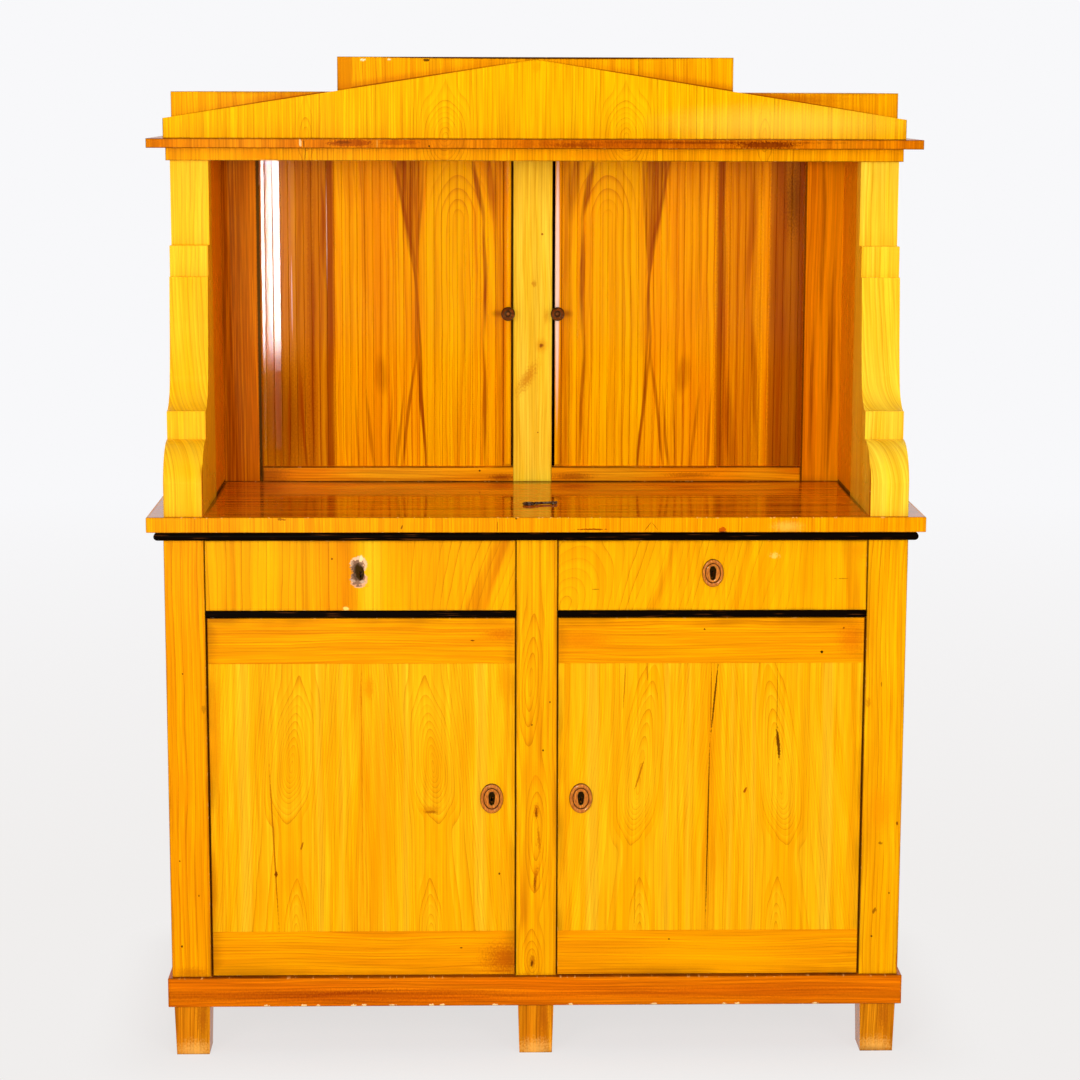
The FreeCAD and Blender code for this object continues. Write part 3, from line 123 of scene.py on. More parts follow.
class Recipe:
    """A node tree that is filled one node at a time."""

    def __init__(self, tree: bpy.types.NodeTree) -> None:
        """Start from an empty tree."""
        self.tree = tree
        tree.nodes.clear()

    def add(
        self, kind: str, feeds: dict[int | str, Feed] | list[Feed], out: int | str = 0, **settings: object
    ) -> Socket | None:
        """Add a node with its settings and links.

        Args:
            kind: The node's type, without the words that all types start with, and any operation after a dot.
            feeds: What goes into each input, by name, number or in order: a node's output or a constant.
            out: The output to hand back.
            **settings: The node's own settings.

        Returns:
            The chosen output, or None for a node without any.
        """
        kind, _, operation = kind.partition(".")
        node = self.tree.nodes.new(f"ShaderNode{kind}")
        for name, value in (settings | ({"operation": operation} if operation else {})).items():
            setattr(node, name, value)
        for key, feed in feeds.items() if isinstance(feeds, dict) else enumerate(feeds):
            if isinstance(feed, Socket):
                self.tree.links.new(feed, node.inputs[key])
            else:
                node.inputs[key].default_value = feed
        return node.outputs[out] if node.outputs else None


class Finish:
    """A real finish that can be turned into a material for one node or piece.

    Each kind has its own relief: how strongly light shows it, and its depth.
    """

    relief: float
    relief_mm: float

    def material(self, name: str) -> bpy.types.Material:
        """Make the finish's material for a piece.

        Args:
            name: The piece's name, which also seeds its random patterns.

        Returns:
            A new material with its own node tree.
        """
        material = bpy.data.materials.new(f"{type(self).__name__}.{name}")
        material.use_nodes = True
        recipe = Recipe(material.node_tree)
        shader = self.shade(recipe, name)
        recipe.add("OutputMaterial", {"Surface": shader})
        return material

    def shade(self, recipe: Recipe, name: str) -> Socket:
        """Fill the recipe for a named piece and hand back its shader."""
        raise NotImplementedError

    def bump(self, recipe: Recipe, height: Socket) -> Socket:
        """Normals of the finish's own relief, as deep as its millimetres say."""
        feeds = {"Height": height, "Strength": self.relief, "Distance": self.relief_mm * MM}
        return recipe.add("Bump", feeds)

    @staticmethod
    def measure(recipe: Recipe, place: Socket, rows: Iterable[Row]) -> list[Socket]:
        """Lengths over a surface, in millimetres.

        Args:
            recipe: The tree to fill.
            place: Where a point lies, in metres.
            rows: Weights of X, Y and Z, one row for each length.

        Returns:
            The sum of the weighed coordinates, for each row.
        """
        scaled = [tuple(weight / MM for weight in row) for row in rows]
        return [recipe.add("VectorMath.DOT_PRODUCT", [place, row], out="Value") for row in scaled]


@dataclass(frozen=True)
class Mottle:
    """A soft random pattern whose patches have a size in millimetres and a contrast.

    The steps say how many patches the pattern moves across and along for one unit of its seed.
    """

    width_mm: float
    length_mm: float
    low: float = 0.0
    high: float = 1.0
    detail: float = 2.0
    steps: Row = (31.0, 17.0, 0.0)

    def spread(self, recipe: Recipe, plane: Socket, seed: float) -> Socket:
        """Stretch noise over a plane and sharpen it, so that it runs from 0 at low to 1 at high.

        Args:
            recipe: The tree to fill.
            plane: Two lengths over the surface, in millimetres.
            seed: Shifts the pattern, so that no two pieces share it.

        Returns:
            Values from 0 to 1.
        """
        scale = (self.width_mm, self.length_mm, 1.0)
        shift = tuple(-seed * step * size for step, size in zip(self.steps, scale))
        feeds = {"Vector": plane, "Location": shift, "Scale": scale}
        place = recipe.add("Mapping", feeds, vector_type="TEXTURE")
        feeds = {"Vector": place, "Scale": 1.0, "Detail": self.detail}
        soft = recipe.add("TexNoise", feeds, noise_dimensions="2D")
        return recipe.add("MapRange", [soft, self.low, self.high], **SMOOTH)


# Axes of the face that a board shows.
FRONT, SIDE, TOP = (0, 2), (1, 2), (0, 1)


class Lay(Enum):
    """How a board lies: weights of X, Y and Z across its rings and along its grain, and its face's axes."""

    UPRIGHT_FRONT = ((1.0, 0.4, 0.0), (0.0, 0.0, 1.0), FRONT)
    UPRIGHT_SIDE = ((0.4, 1.0, 0.0), (0.0, 0.0, 1.0), SIDE)
    LEVEL_FRONT = ((0.0, 0.4, 1.0), (1.0, 0.0, 0.0), FRONT)
    LEVEL_ROUND = ((0.0, 0.0, 1.0), (1.0, 1.0, 0.0), FRONT)
    LEVEL_TOP = ((0.0, 1.0, 0.4), (1.0, 0.0, 0.0), TOP)
    LEVEL_DEEP = ((1.0, 0.0, 0.4), (0.0, 1.0, 0.0), TOP)
    FLAT_FRONT = ((1.0, 0.0, 0.0), (0.0, 0.0, 1.0), FRONT)
    CROSS_EDGE = ((1.0, 1.0, 0.0), (0.0, 0.0, 1.0), FRONT)

    @property
    def face(self) -> tuple[int, int]:
        """Axes of the show face."""
        return self.value[2]


@dataclass(frozen=True)
class Tone:
    """Colours of a timber: pale rings, its body, its ring lines and its dark heartwood streaks."""

    pale: str
    body: str
    line: str
    streak: str


@dataclass(frozen=True)
class Eye:
    """A closed oval in the grain: its place, ring spacing above and below, lean and reach in rings.

    Its rings crowd together within its core, end softly above and below, and fade sideways into straight
    grain between two shares of its reach. They are counted from its first ring, so that a small eye stays
    inside the rings of a large one.
    """

    across_mm: float
    along_mm: float
    above_mm: float
    below_mm: float
    lean: float = 0.0
    rings: float = 9.0
    first: float = 0.0
    crowding: float = 3.5
    core_mm: float = 25.0
    soft_end: float = 4.0
    fade: tuple[float, float] = (0.5, 1.8)

    def reach(self, recipe: Recipe, across: Socket, along: Socket, ring_mm: float) -> Socket:
        """Distance from the eye in rings: the length of the offsets across and along, each counted in rings.

        Args:
            recipe: The tree to fill.
            across: Bent distance across the grain in millimetres.
            along: Distance along the grain in millimetres.
            ring_mm: Ring spacing across the grain.

        Returns:
            The number of rings from the eye.
        """
        add = recipe.add
        rise = add("Math.SUBTRACT", [along, self.along_mm])
        above = add("Math.DIVIDE", [add("Math.MAXIMUM", [rise, 0.0]), self.above_mm])
        below = add("Math.MINIMUM", [rise, 0.0])
        spread = add("Math.MULTIPLY_ADD", [below, -1.0 / self.below_mm, above])
        ended = add("Math.SMOOTH_MIN", [spread, self.rings, self.soft_end])
        centre = add("Math.MULTIPLY_ADD", [rise, self.lean, self.across_mm])
        aside = add("Math.ABSOLUTE", [add("Math.SUBTRACT", [across, centre])])
        crowd = add("Math.DIVIDE", [aside, add("Math.ADD", [aside, self.core_mm])])
        packed = add("Math.MULTIPLY", [crowd, self.crowding])
        sideways = add("Math.MULTIPLY_ADD", [aside, 1.0 / ring_mm, packed])
        start, end = (self.rings * share for share in self.fade)
        near = add("MapRange", [sideways, start, end, 1.0, 0.0], **SMOOTH)
        local = add("Math.MULTIPLY", [ended, near])
        reach = add("VectorMath.LENGTH", [add("CombineXYZ", [sideways, local])], out="Value")
        return add("Math.ADD", [reach, self.first])


@dataclass(frozen=True)
class Streak:
    """A dark or pale band along the grain, which may lean, end, and widen upwards from its level by a flare.

    It is full over its core, a share of its width. The wood's threads break it up: it is faintest where they
    are low, and stronger by its unevenness where they are high.
    """

    across_mm: float
    along_mm: float
    width_mm: float
    strength: float
    lean: float = 0.0
    flare: float = 0.0
    colour: str = ""
    reach_mm: float = 0.0
    core: float = 0.3
    faintest: float = 0.7
    unevenness: float = 0.5

    def lay(self, recipe: Recipe, under: Socket, grain: list[Socket], heartwood: str) -> Socket:
        """Lay the band over a colour: full in its middle, fading to its edges, broken up by threads.

        Args:
            recipe: The tree to fill.
            under: The colour under the band.
            grain: Bent distance across the grain, distance along it, both in millimetres, and the threads.
            heartwood: The band's colour where it has none of its own.

        Returns:
            The colour with the band on it.
        """
        add = recipe.add
        across, along, threads = grain
        lift = add("Math.SUBTRACT", [along, self.along_mm])
        widen = add("Math.MAXIMUM", [lift, 0.0])
        width = add("Math.MULTIPLY_ADD", [widen, self.flare, self.width_mm])
        centre = add("Math.MULTIPLY_ADD", [lift, self.lean, self.across_mm])
        aside = add("Math.ABSOLUTE", [add("Math.SUBTRACT", [across, centre])])
        share = add("Math.DIVIDE", [aside, width])
        if self.reach_mm:
            ends = add("Math.DIVIDE", [add("Math.ABSOLUTE", [lift]), self.reach_mm])
            share = add("VectorMath.LENGTH", [add("CombineXYZ", [share, ends])], out="Value")
        band = add("MapRange", [share, self.core, 1.0, self.strength, 0.0], **SMOOTH)
        uneven = add("Math.MULTIPLY_ADD", [threads, self.unevenness, self.faintest])
        broken = add("Math.MULTIPLY", [band, uneven], use_clamp=True)
        return add("Mix", {0: broken, 6: under, 7: linear(self.colour or heartwood)}, **COLOURS)


@dataclass(frozen=True)
class Mark:
    """A spot with a ragged edge, such as a knot, nail hole, stain, crack or torn place, on the show face."""

    across_mm: float
    along_mm: float
    width_mm: float
    height_mm: float
    colour: str
    strength: float = 1.0
    soft: float = 0.35
    ragged: float = 0.25
    lean: float = 0.0

    def at(self, across_mm: float, along_mm: float) -> "Mark":
        """The same mark, moved to stand off a point by its own place."""
        return replace(self, across_mm=self.across_mm + across_mm, along_mm=self.along_mm + along_mm)

    def lay(self, recipe: Recipe, under: Socket, plane: Socket, rough: Socket) -> Socket:
        """Lay the spot over a colour: an oval, centred and turned, whose distance is roughened by noise.

        Args:
            recipe: The tree to fill.
            under: The colour under the spot.
            plane: Two lengths over the show face, in millimetres.
            rough: Noise that makes the edge ragged.

        Returns:
            The colour with the spot on it.
        """
        feeds = {
            "Vector": plane,
            "Location": (self.across_mm, self.along_mm, 0.0),
            "Rotation": (0.0, 0.0, -math.atan(self.lean)),
            "Scale": (self.width_mm / 2, self.height_mm / 2, 1.0),
        }
        oval = recipe.add("Mapping", feeds, vector_type="TEXTURE")
        reach = recipe.add("VectorMath.LENGTH", [oval], out="Value")
        torn = recipe.add("Math.MULTIPLY_ADD", [rough, 2 * self.ragged, reach])
        outer = 1.0 + self.ragged
        spot = recipe.add("MapRange", [torn, outer - self.soft, outer, self.strength, 0.0], **SMOOTH)
        return recipe.add("Mix", {0: spot, 6: under, 7: linear(self.colour)}, **COLOURS)


@dataclass(frozen=True)
class Fan:
    """Grain that leans more and more from one place across a board to another."""

    start_mm: float
    end_mm: float
    lean: float
    level_mm: float = 850.0


@dataclass(frozen=True)
class Wear:
    """What age does near a board's outline: grime that darkens it, chips that bare it and a black joint line,
    which also paints the shade in the gap round the board.
    """

    grime_mm: float = 9.0
    grime: float = 0.35
    chip_mm: float = 2.0
    chips: float = 0.35
    joint_mm: float = 1.6
    joint: float = 0.5


# Slow and fine sway of the grain, and how far the fine one bends it.
SLOW_SWAY = Mottle(110.0, 420.0)
FINE_SWAY = Mottle(16.0, 120.0)
FINE_BEND_MM = 3.0
# Pale bands are four rings wide, so their width is counted in rings.
RING_BANDS = Mottle(4.0, 300.0, 0.3, 0.7)
BLOTCHES = Mottle(150.0, 240.0, 0.32, 0.68)
# Fibres are finer than a pixel on the real wood, so they are drawn about three millimetres wide.
THREADS = Mottle(3.2, 160.0, 0.3, 0.7, 4.0)
RIBS = Mottle(9.0, 700.0, 0.35, 0.65, 3.0)
RAGGED_EDGES = Mottle(3.0, 4.0)
GRIME_PATCHES = Mottle(110.0, 110.0, 0.25, 0.8)
JOINT_PATCHES = Mottle(60.0, 60.0, 0.0, 0.5)
CHIP_PATCHES = Mottle(7.0, 7.0, 0.66, 0.7)
SHELLAC_TINT = "#ffb24a"


@dataclass(frozen=True)
class Timber(Finish):
    """Sawn timber whose growth rings are worked out over its show face.

    Rings are counted by the distance across the grain, bent by slow and fine noise. An eye is an elliptic
    distance from its centre, in ring spacings, and several eyes merge by a rounded minimum. Each ring starts
    pale and ends dark. A coat grows in along the grain, and only its tail, a small share, lies before that.
    """

    lay: Lay
    tone: Tone
    ring_mm: float = 9.0
    seam_mm: float | None = None
    fan: Fan | None = None
    eyes: tuple[Eye, ...] = ()
    streaks: tuple[Streak, ...] = ()
    stains: tuple[Mark, ...] = ()
    marks: tuple[Mark, ...] = ()
    wear: Wear | None = None
    bands: float = 0.45
    lines: float = 0.85
    thin: float = 5.0
    early: float = 0.35
    early_thin: float = 3.0
    faintest_ring: float = 0.25
    far_rings: tuple[float, float] = (14.0, 34.0)
    far_lines: float = 0.55
    eye_merge: float = 2.0
    fibre: float = 0.36
    rib: float = 0.3
    blotch: float = 0.35
    bend_mm: float = 14.0
    roughness: float = 0.24
    dullness: float = 0.08
    ior: float = 1.5
    gloss: float = 0.18
    sheen_tint: str = SHELLAC_TINT
    coat: float = 0.0
    coat_roughness: float = 0.04
    coat_from_mm: float = -1000.0
    coat_fade_mm: float = 1.0
    coat_tail: float = 0.015
    relief_mm: float = 0.06
    relief: float = 0.35
    line_relief: float = 0.6
    show_mm: float = 6.0
    darkest: float = 0.004
    grime_colour: str = "#6a2a00"
    # Dark joint line, which also paints the shade in the gap round a board.
    joint_and_shade_colour: str = "#240a00"
    chip_colour: str = "#f2b968"
    rest_attribute: str = ""

    def place(self, recipe: Recipe, name: str) -> Socket:
        """Object coordinates from the node's show face, or the resting place that a moving piece keeps."""
        if self.rest_attribute:
            return recipe.add("Attribute", {}, out="Vector", attribute_name=self.rest_attribute)
        low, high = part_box(name)
        shifts = {FRONT: (0.0, -low[1], 0.0), TOP: (0.0, 0.0, -high[2]), SIDE: (0.0, 0.0, 0.0)}
        source = recipe.add("TexCoord", {}, out="Object")
        return recipe.add("Mapping", {"Vector": source, "Location": shifts[self.lay.face]})

    def in_front(self, recipe: Recipe, place: Socket, clean: Socket, marked: Socket) -> Socket:
        """Keep marks within a few millimetres of a front face, so that a board's back stays clean.

        Args:
            recipe: The tree to fill.
            place: Where a point lies, from the front face.
            clean: The colour without marks.
            marked: The colour with them.

        Returns:
            The marked colour in front and the clean one behind. A board that shows another face is marked.
        """
        if self.lay.face != FRONT or self.rest_attribute:
            return marked
        depth = recipe.add("SeparateXYZ", [place], out=1)
        shown = recipe.add("MapRange", [depth, self.show_mm * MM, 2 * self.show_mm * MM, 1.0, 0.0])
        return recipe.add("Mix", {0: shown, 6: clean, 7: marked}, **COLOURS)

    def rings(self, recipe: Recipe, across: Socket, along: Socket) -> Socket:
        """Number of rings at each point: straight, fanned, or by distance from the eyes.

        Args:
            recipe: The tree to fill.
            across: Bent distance across the grain in millimetres.
            along: Distance along the grain in millimetres.

        Returns:
            The ring number, without steps.
        """
        add = recipe.add
        if self.fan:
            reach = (self.fan.start_mm, self.fan.end_mm)
            lean = add("MapRange", [across, *reach, 0.0, -self.fan.lean], **SMOOTH)
            level = add("Math.SUBTRACT", [along, self.fan.level_mm])
            across = add("Math.MULTIPLY_ADD", [level, lean, across])
        if not self.eyes:
            return add("Math.DIVIDE", [across, self.ring_mm])
        found = None
        for eye in self.eyes:
            reach = eye.reach(recipe, across, along, self.ring_mm)
            found = add("Math.SMOOTH_MIN", [found, reach, self.eye_merge]) if found else reach
        return found

    def ring_lines(self, recipe: Recipe, rings: Socket, seed: float) -> tuple[Socket, Socket]:
        """Dark end and pale start of each ring: powers of the way through it, stronger in some than others.

        Args:
            recipe: The tree to fill.
            rings: The ring number, without steps.
            seed: Draws each ring's strength.

        Returns:
            The strength of the dark line and of the pale one, from 0 to 1.
        """
        add = recipe.add
        count = add("Math.ADD", [add("Math.FLOOR", [rings]), seed])
        chance = add("TexWhiteNoise", {"W": count}, noise_dimensions="1D")
        strength = add("Math.MULTIPLY_ADD", [chance, 1.0 - self.faintest_ring, self.faintest_ring])
        if self.eyes:
            far = add("MapRange", [rings, *self.far_rings, 1.0, self.far_lines])
            strength = add("Math.MULTIPLY", [strength, far])
        phase = add("Math.FRACT", [rings])
        left = add("Math.SUBTRACT", [1.0, phase])
        late, early = (
            add("Math.MULTIPLY", [add("Math.POWER", [way, power]), strength])
            for way, power in ((phase, self.thin), (left, self.early_thin))
        )
        return late, early

    def shade(self, recipe: Recipe, name: str) -> Socket:
        """Mix the timber's colours by its rings, fibres, streaks, marks and wear, and polish it."""
        add, seed = recipe.add, seed_of(name)
        place = self.place(recipe, name)
        face_rows = [tuple(np.eye(3)[axis]) for axis in self.lay.face]
        across, along, level, upright = self.measure(recipe, place, [*self.lay.value[:2], *face_rows])
        plane, face = add("CombineXYZ", [across, along]), add("CombineXYZ", [level, upright])
        leaf = across
        if self.seam_mm is not None:
            leaf = add("Math.ABSOLUTE", [add("Math.SUBTRACT", [across, self.seam_mm])])
        slow = SLOW_SWAY.spread(recipe, add("CombineXYZ", [leaf, along]), seed)
        fine = FINE_SWAY.spread(recipe, plane, seed + 1.0)
        sway = add("Math.MULTIPLY_ADD", [slow, self.bend_mm, leaf])
        centred = add("Math.SUBTRACT", [sway, (self.bend_mm + FINE_BEND_MM) / 2])
        bent = add("Math.MULTIPLY_ADD", [fine, FINE_BEND_MM, centred])
        rings = self.rings(recipe, bent, along)
        late, early = self.ring_lines(recipe, rings, seed)
        broad = RING_BANDS.spread(recipe, add("CombineXYZ", [rings, along]), seed + 2.0)
        patch = BLOTCHES.spread(recipe, plane, seed + 3.0)
        threads = THREADS.spread(recipe, plane, seed + 4.0)
        ribs = RIBS.spread(recipe, add("CombineXYZ", [bent, along]), seed + 8.0)
        rough = RAGGED_EDGES.spread(recipe, face, seed + 5.0)
        pale, body, line = (linear(shade) for shade in (self.tone.pale, self.tone.body, self.tone.line))
        # Lines darken whatever lies under them, by the ratio of the line's colour to the body's.
        dark = tuple(min(over / max(under, self.darkest), 1.0) for over, under in zip(line, body))
        colour = body
        layers = ((broad, self.bands, pale), (patch, self.blotch, body), (early, self.early, pale))
        for share, strength, over in layers:
            weight = add("Math.MULTIPLY", [share, strength])
            colour = add("Mix", {0: weight, 6: colour, 7: over}, **COLOURS)
        for streak in self.streaks:
            if streak.colour:
                colour = streak.lay(recipe, colour, [bent, along, threads], self.tone.streak)
        clean = colour
        for stain in self.stains:
            colour = stain.lay(recipe, colour, face, rough)
        if self.stains:
            colour = self.in_front(recipe, place, clean, colour)
        for share, strength in ((threads, self.fibre), (ribs, self.rib), (late, self.lines)):
            weight = add("Math.MULTIPLY", [share, strength])
            colour = add("Mix", {0: weight, 6: colour, 7: dark}, **COLOURS, blend_type="MULTIPLY")
        for streak in self.streaks:
            if not streak.colour:
                colour = streak.lay(recipe, colour, [bent, along, threads], self.tone.streak)
        clean = colour
        for mark in self.marks:
            colour = mark.lay(recipe, colour, face, rough)
        if self.wear:
            colour = self.worn(recipe, colour, face, name)
        if self.marks or self.wear:
            colour = self.in_front(recipe, place, clean, colour)
        height = add("Math.MULTIPLY_ADD", [late, self.line_relief, threads])
        feeds = {
            "Base Color": colour,
            "Roughness": add("Math.MULTIPLY_ADD", [patch, self.dullness, self.roughness]),
            "IOR": self.ior,
            "Specular IOR Level": self.gloss,
            "Specular Tint": linear(self.sheen_tint),
            "Coat Roughness": self.coat_roughness,
            "Coat IOR": self.ior,
            "Normal": self.bump(recipe, height),
        }
        if self.coat:
            start, tail = self.coat_from_mm, self.coat * self.coat_tail
            fade = [along, start, start + self.coat_fade_mm, tail, self.coat]
            feeds["Coat Weight"] = add("MapRange", fade, **SMOOTH)
        return add("BsdfPrincipled", feeds)

    def worn(self, recipe: Recipe, colour: Socket, plane: Socket, node: str) -> Socket:
        """Darken a node's outline with grime and a joint line that also paints the shade in the gap round it,
        and bare it in chips, all broken up by noise.

        Args:
            recipe: The tree to fill.
            colour: The colour of the clean wood.
            plane: Two lengths over the show face, in millimetres.
            node: The node, whose box gives the outline.

        Returns:
            The worn colour.
        """
        add, seed = recipe.add, seed_of(node) + 6.0
        low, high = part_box(node)
        source = add("TexCoord", {}, out="Object")
        edge = None
        for axis in self.lay.face:
            middle, half = (low[axis] + high[axis]) / 2, (high[axis] - low[axis]) / 2
            here = add("SeparateXYZ", [source], out=axis)
            away = add("Math.ABSOLUTE", [add("Math.SUBTRACT", [here, middle])])
            inside = add("Math.SUBTRACT", [half, away])
            edge = add("Math.MINIMUM", [edge, inside]) if edge else inside
        layers = (
            (self.wear.grime_mm, self.wear.grime, GRIME_PATCHES, self.grime_colour),
            # The joint line is both a dark joint and painted shade in the gap round the board.
            (self.wear.joint_mm, self.wear.joint, JOINT_PATCHES, self.joint_and_shade_colour),
            (self.wear.chip_mm, self.wear.chips, CHIP_PATCHES, self.chip_colour),
        )
        for reach_mm, strength, mottle, over in layers:
            rim = add("MapRange", [edge, 0.0, reach_mm * MM, strength, 0.0], **SMOOTH)
            weight = add("Math.MULTIPLY", [rim, mottle.spread(recipe, plane, seed + reach_mm)])
            colour = add("Mix", {0: weight, 6: colour, 7: linear(over)}, **COLOURS)
        return colour


@dataclass(frozen=True)
class PolishedCherry(Timber):
    """Cherry, French polished with shellac: a clear warm gloss over honey wood with thin brown ring lines."""


@dataclass(frozen=True)
class BareSoftwood(Timber):
    """Planed pine left bare inside and behind: pale, matt, with strong ring lines and a little dust."""

    tone: Tone = Tone("#d9a35c", "#cc9048", "#96602a", "#7a4a1e")
    ring_mm: float = 14.0
    lines: float = 0.5
    fibre: float = 0.4
    bend_mm: float = 34.0
    roughness: float = 0.62
    gloss: float = 0.25
    sheen_tint: str = "#ffffff"
    relief_mm: float = 0.15


@dataclass(frozen=True)
class EbonisedWood(Finish):
    """Fruitwood stained black and polished: near black, rubbed through to brown in lines along the grain.

    Its roughness runs from the satin of the polish up by its dullness.
    """

    black: str = "#0a0401"
    rubbed: str = "#6a3814"
    axes: tuple[Row, Row] = ((1.0, 1.0, 0.0), (0.0, 0.4, 1.0))
    grain: Mottle = Mottle(60.0, 2.5, 0.2, 0.8, 4.0)
    rubs: Mottle = Mottle(90.0, 2.2, 0.66, 0.8)
    satin: float = 0.24
    dullness: float = 0.2
    ior: float = 1.2
    gloss: float = 0.03
    relief: float = 0.3
    relief_mm: float = 0.1

    def shade(self, recipe: Recipe, name: str) -> Socket:
        """Black with brown rubbed lines where stretched noise is high, under a satin polish."""
        add, seed = recipe.add, seed_of(name)
        plane = add("CombineXYZ", self.measure(recipe, add("TexCoord", {}, out="Object"), self.axes))
        grain = self.grain.spread(recipe, plane, seed)
        rubs = self.rubs.spread(recipe, plane, seed + 1.0)
        feeds = {
            "Base Color": add("Mix", {0: rubs, 6: linear(self.black), 7: linear(self.rubbed)}, **COLOURS),
            "Roughness": add("Math.MULTIPLY_ADD", [grain, self.dullness, self.satin]),
            "IOR": self.ior,
            "Specular IOR Level": self.gloss,
            "Normal": self.bump(recipe, grain),
        }
        return add("BsdfPrincipled", feeds)


@dataclass(frozen=True)
class TurnedWood(Finish):
    """Hardwood turned on a lathe and polished: rings of tone that follow the turning, dark in the hollows.

    A hollow is a share of the way out. It is fully dark over its core, a share of its width.
    """

    pale: str
    deep: str
    hollow: str
    hollows: tuple[float, ...]
    hollow_width: float = 0.07
    gloss: float = 0.5
    coat: float = 0.12
    hollow_core: float = 0.3
    hollow_strength: float = 0.9
    axes: tuple[Row, Row] = ((1.0, 1.0, 0.0), (0.0, 0.0, 1.0))
    grain: Mottle = Mottle(1.6, 9.0, 0.3, 0.7, 3.0)
    polish: float = 0.18
    dullness: float = 0.15
    ior: float = 1.5
    coat_roughness: float = 0.05
    relief: float = 0.3
    relief_mm: float = 0.08

    def shade(self, recipe: Recipe, name: str) -> Socket:
        """Mix pale and deep wood by grain noise, and darken named rings of the turning."""
        add, seed = recipe.add, seed_of(name)
        plane = add("CombineXYZ", self.measure(recipe, add("TexCoord", {}, out="Object"), self.axes))
        reach = add("Attribute", {}, out="Fac", attribute_name="reach")
        grain = self.grain.spread(recipe, plane, seed)
        colour = add("Mix", {0: grain, 6: linear(self.pale), 7: linear(self.deep)}, **COLOURS)
        core, width = self.hollow_width * self.hollow_core, self.hollow_width
        for hollow in self.hollows:
            away = add("Math.ABSOLUTE", [add("Math.SUBTRACT", [reach, hollow])])
            ring = add("MapRange", [away, core, width, self.hollow_strength, 0.0], **SMOOTH)
            colour = add("Mix", {0: ring, 6: colour, 7: linear(self.hollow)}, **COLOURS)
        feeds = {
            "Base Color": colour,
            "Roughness": add("Math.MULTIPLY_ADD", [grain, self.dullness, self.polish]),
            "IOR": self.ior,
            "Specular IOR Level": self.gloss,
            "Specular Tint": linear(SHELLAC_TINT),
            "Coat Weight": self.coat,
            "Coat Roughness": self.coat_roughness,
            "Normal": self.bump(recipe, grain),
        }
        return add("BsdfPrincipled", feeds)


@dataclass(frozen=True)
class OldIron(Finish):
    """Forged iron, brown with age: dull metal with rust in its pits."""

    metal: str = "#6a5a4c"
    rust: str = "#3a2014"
    axes: tuple[Row, Row] = ((1.0, 1.0, 0.0), (0.0, 1.0, 1.0))
    pits: Mottle = Mottle(5.0, 5.0, 0.2, 0.8, 5.0)
    rusting: Mottle = Mottle(6.0, 6.0, 0.42, 0.62, 4.0)
    metallic: float = 0.9
    forged: float = 0.38
    dullness: float = 0.3
    relief: float = 0.5
    relief_mm: float = 0.25

    def shade(self, recipe: Recipe, name: str) -> Socket:
        """Metal mottled with rust by noise a few millimetres wide, rougher where it rusts."""
        add, seed = recipe.add, seed_of(name)
        plane = add("CombineXYZ", self.measure(recipe, add("TexCoord", {}, out="Object"), self.axes))
        pits = self.pits.spread(recipe, plane, seed)
        rusty = self.rusting.spread(recipe, plane, seed + 1.0)
        feeds = {
            "Base Color": add("Mix", {0: rusty, 6: linear(self.metal), 7: linear(self.rust)}, **COLOURS),
            "Metallic": self.metallic,
            "Roughness": add("Math.MULTIPLY_ADD", [rusty, self.dullness, self.forged]),
            "Normal": self.bump(recipe, pits),
        }
        return add("BsdfPrincipled", feeds)


@dataclass(frozen=True)
class CottonCanvas(Finish):
    """Plain-woven cotton glued behind the slats: pale threads, over and under, stiff with glue."""

    pale: str = "#c9b48d"
    gap: str = "#7d6641"
    thread_mm: float = 2.0
    roughness: float = 0.9
    relief: float = 0.6
    relief_mm: float = 0.3

    def shade(self, recipe: Recipe, name: str) -> Socket:
        """Weave of two crossed waves. A thread is drawn coarser than real cotton, so that it shows."""
        add = recipe.add
        source = add("Attribute", {}, out="Vector", attribute_name="rest")
        turns = math.pi / (self.thread_mm * MM)
        warp, weft = (
            add("Math.SINE", [add("Math.MULTIPLY", [add("SeparateXYZ", [source], out=axis), turns])])
            for axis in FRONT
        )
        over = add("MapRange", [add("Math.MULTIPLY", [warp, weft]), -1.0, 1.0])
        feeds = {
            "Base Color": add("Mix", {0: over, 6: linear(self.gap), 7: linear(self.pale)}, **COLOURS),
            "Roughness": self.roughness,
            "Normal": self.bump(recipe, over),
        }
        return add("BsdfPrincipled", feeds)


def grid_quads(rows: int, columns: int, wrap_columns: bool = False) -> np.ndarray:
    """Faces of a grid of points that is stored row by row.

    Args:
        rows: Points in the first direction.
        columns: Points in the second direction.
        wrap_columns: Whether the last column joins the first.

    Returns:
        Four point numbers for each face.
    """
    i, j = np.meshgrid(np.arange(rows - 1), np.arange(columns - (not wrap_columns)), indexing="ij")
    following = (j + 1) % columns
    around = [i * columns + j, i * columns + following, (i + 1) * columns + following, (i + 1) * columns + j]
    return np.stack(around, -1).reshape(-1, 4)


def prism(section: np.ndarray, bottom: float, top: float) -> tuple[np.ndarray, list[np.ndarray]]:
    """Carry a closed section from one level up to another, and close both ends.

    Args:
        section: Rows of X and Y.
        bottom: The lower level.
        top: The upper one.

    Returns:
        The points and the groups of faces between them.
    """
    count = len(section)
    levels = np.repeat([bottom, top], count)[:, None]
    ends = np.arange(2 * count).reshape(2, count)
    return np.hstack([np.tile(section, (2, 1)), levels]), [grid_quads(2, count, wrap_columns=True), ends]


def joined(*blocks: tuple[np.ndarray, list[np.ndarray]]) -> tuple[np.ndarray, list[np.ndarray]]:
    """Stack blocks of points and faces into one, with each block's point numbers moved on.

    Args:
        *blocks: Points and groups of faces.

    Returns:
        All points and all groups of faces.
    """
    starts = np.cumsum([0, *(len(points) for points, _ in blocks)])
    faces = [rows + start for (_, groups), start in zip(blocks, starts) for rows in groups]
    return np.vstack([points for points, _ in blocks]), faces


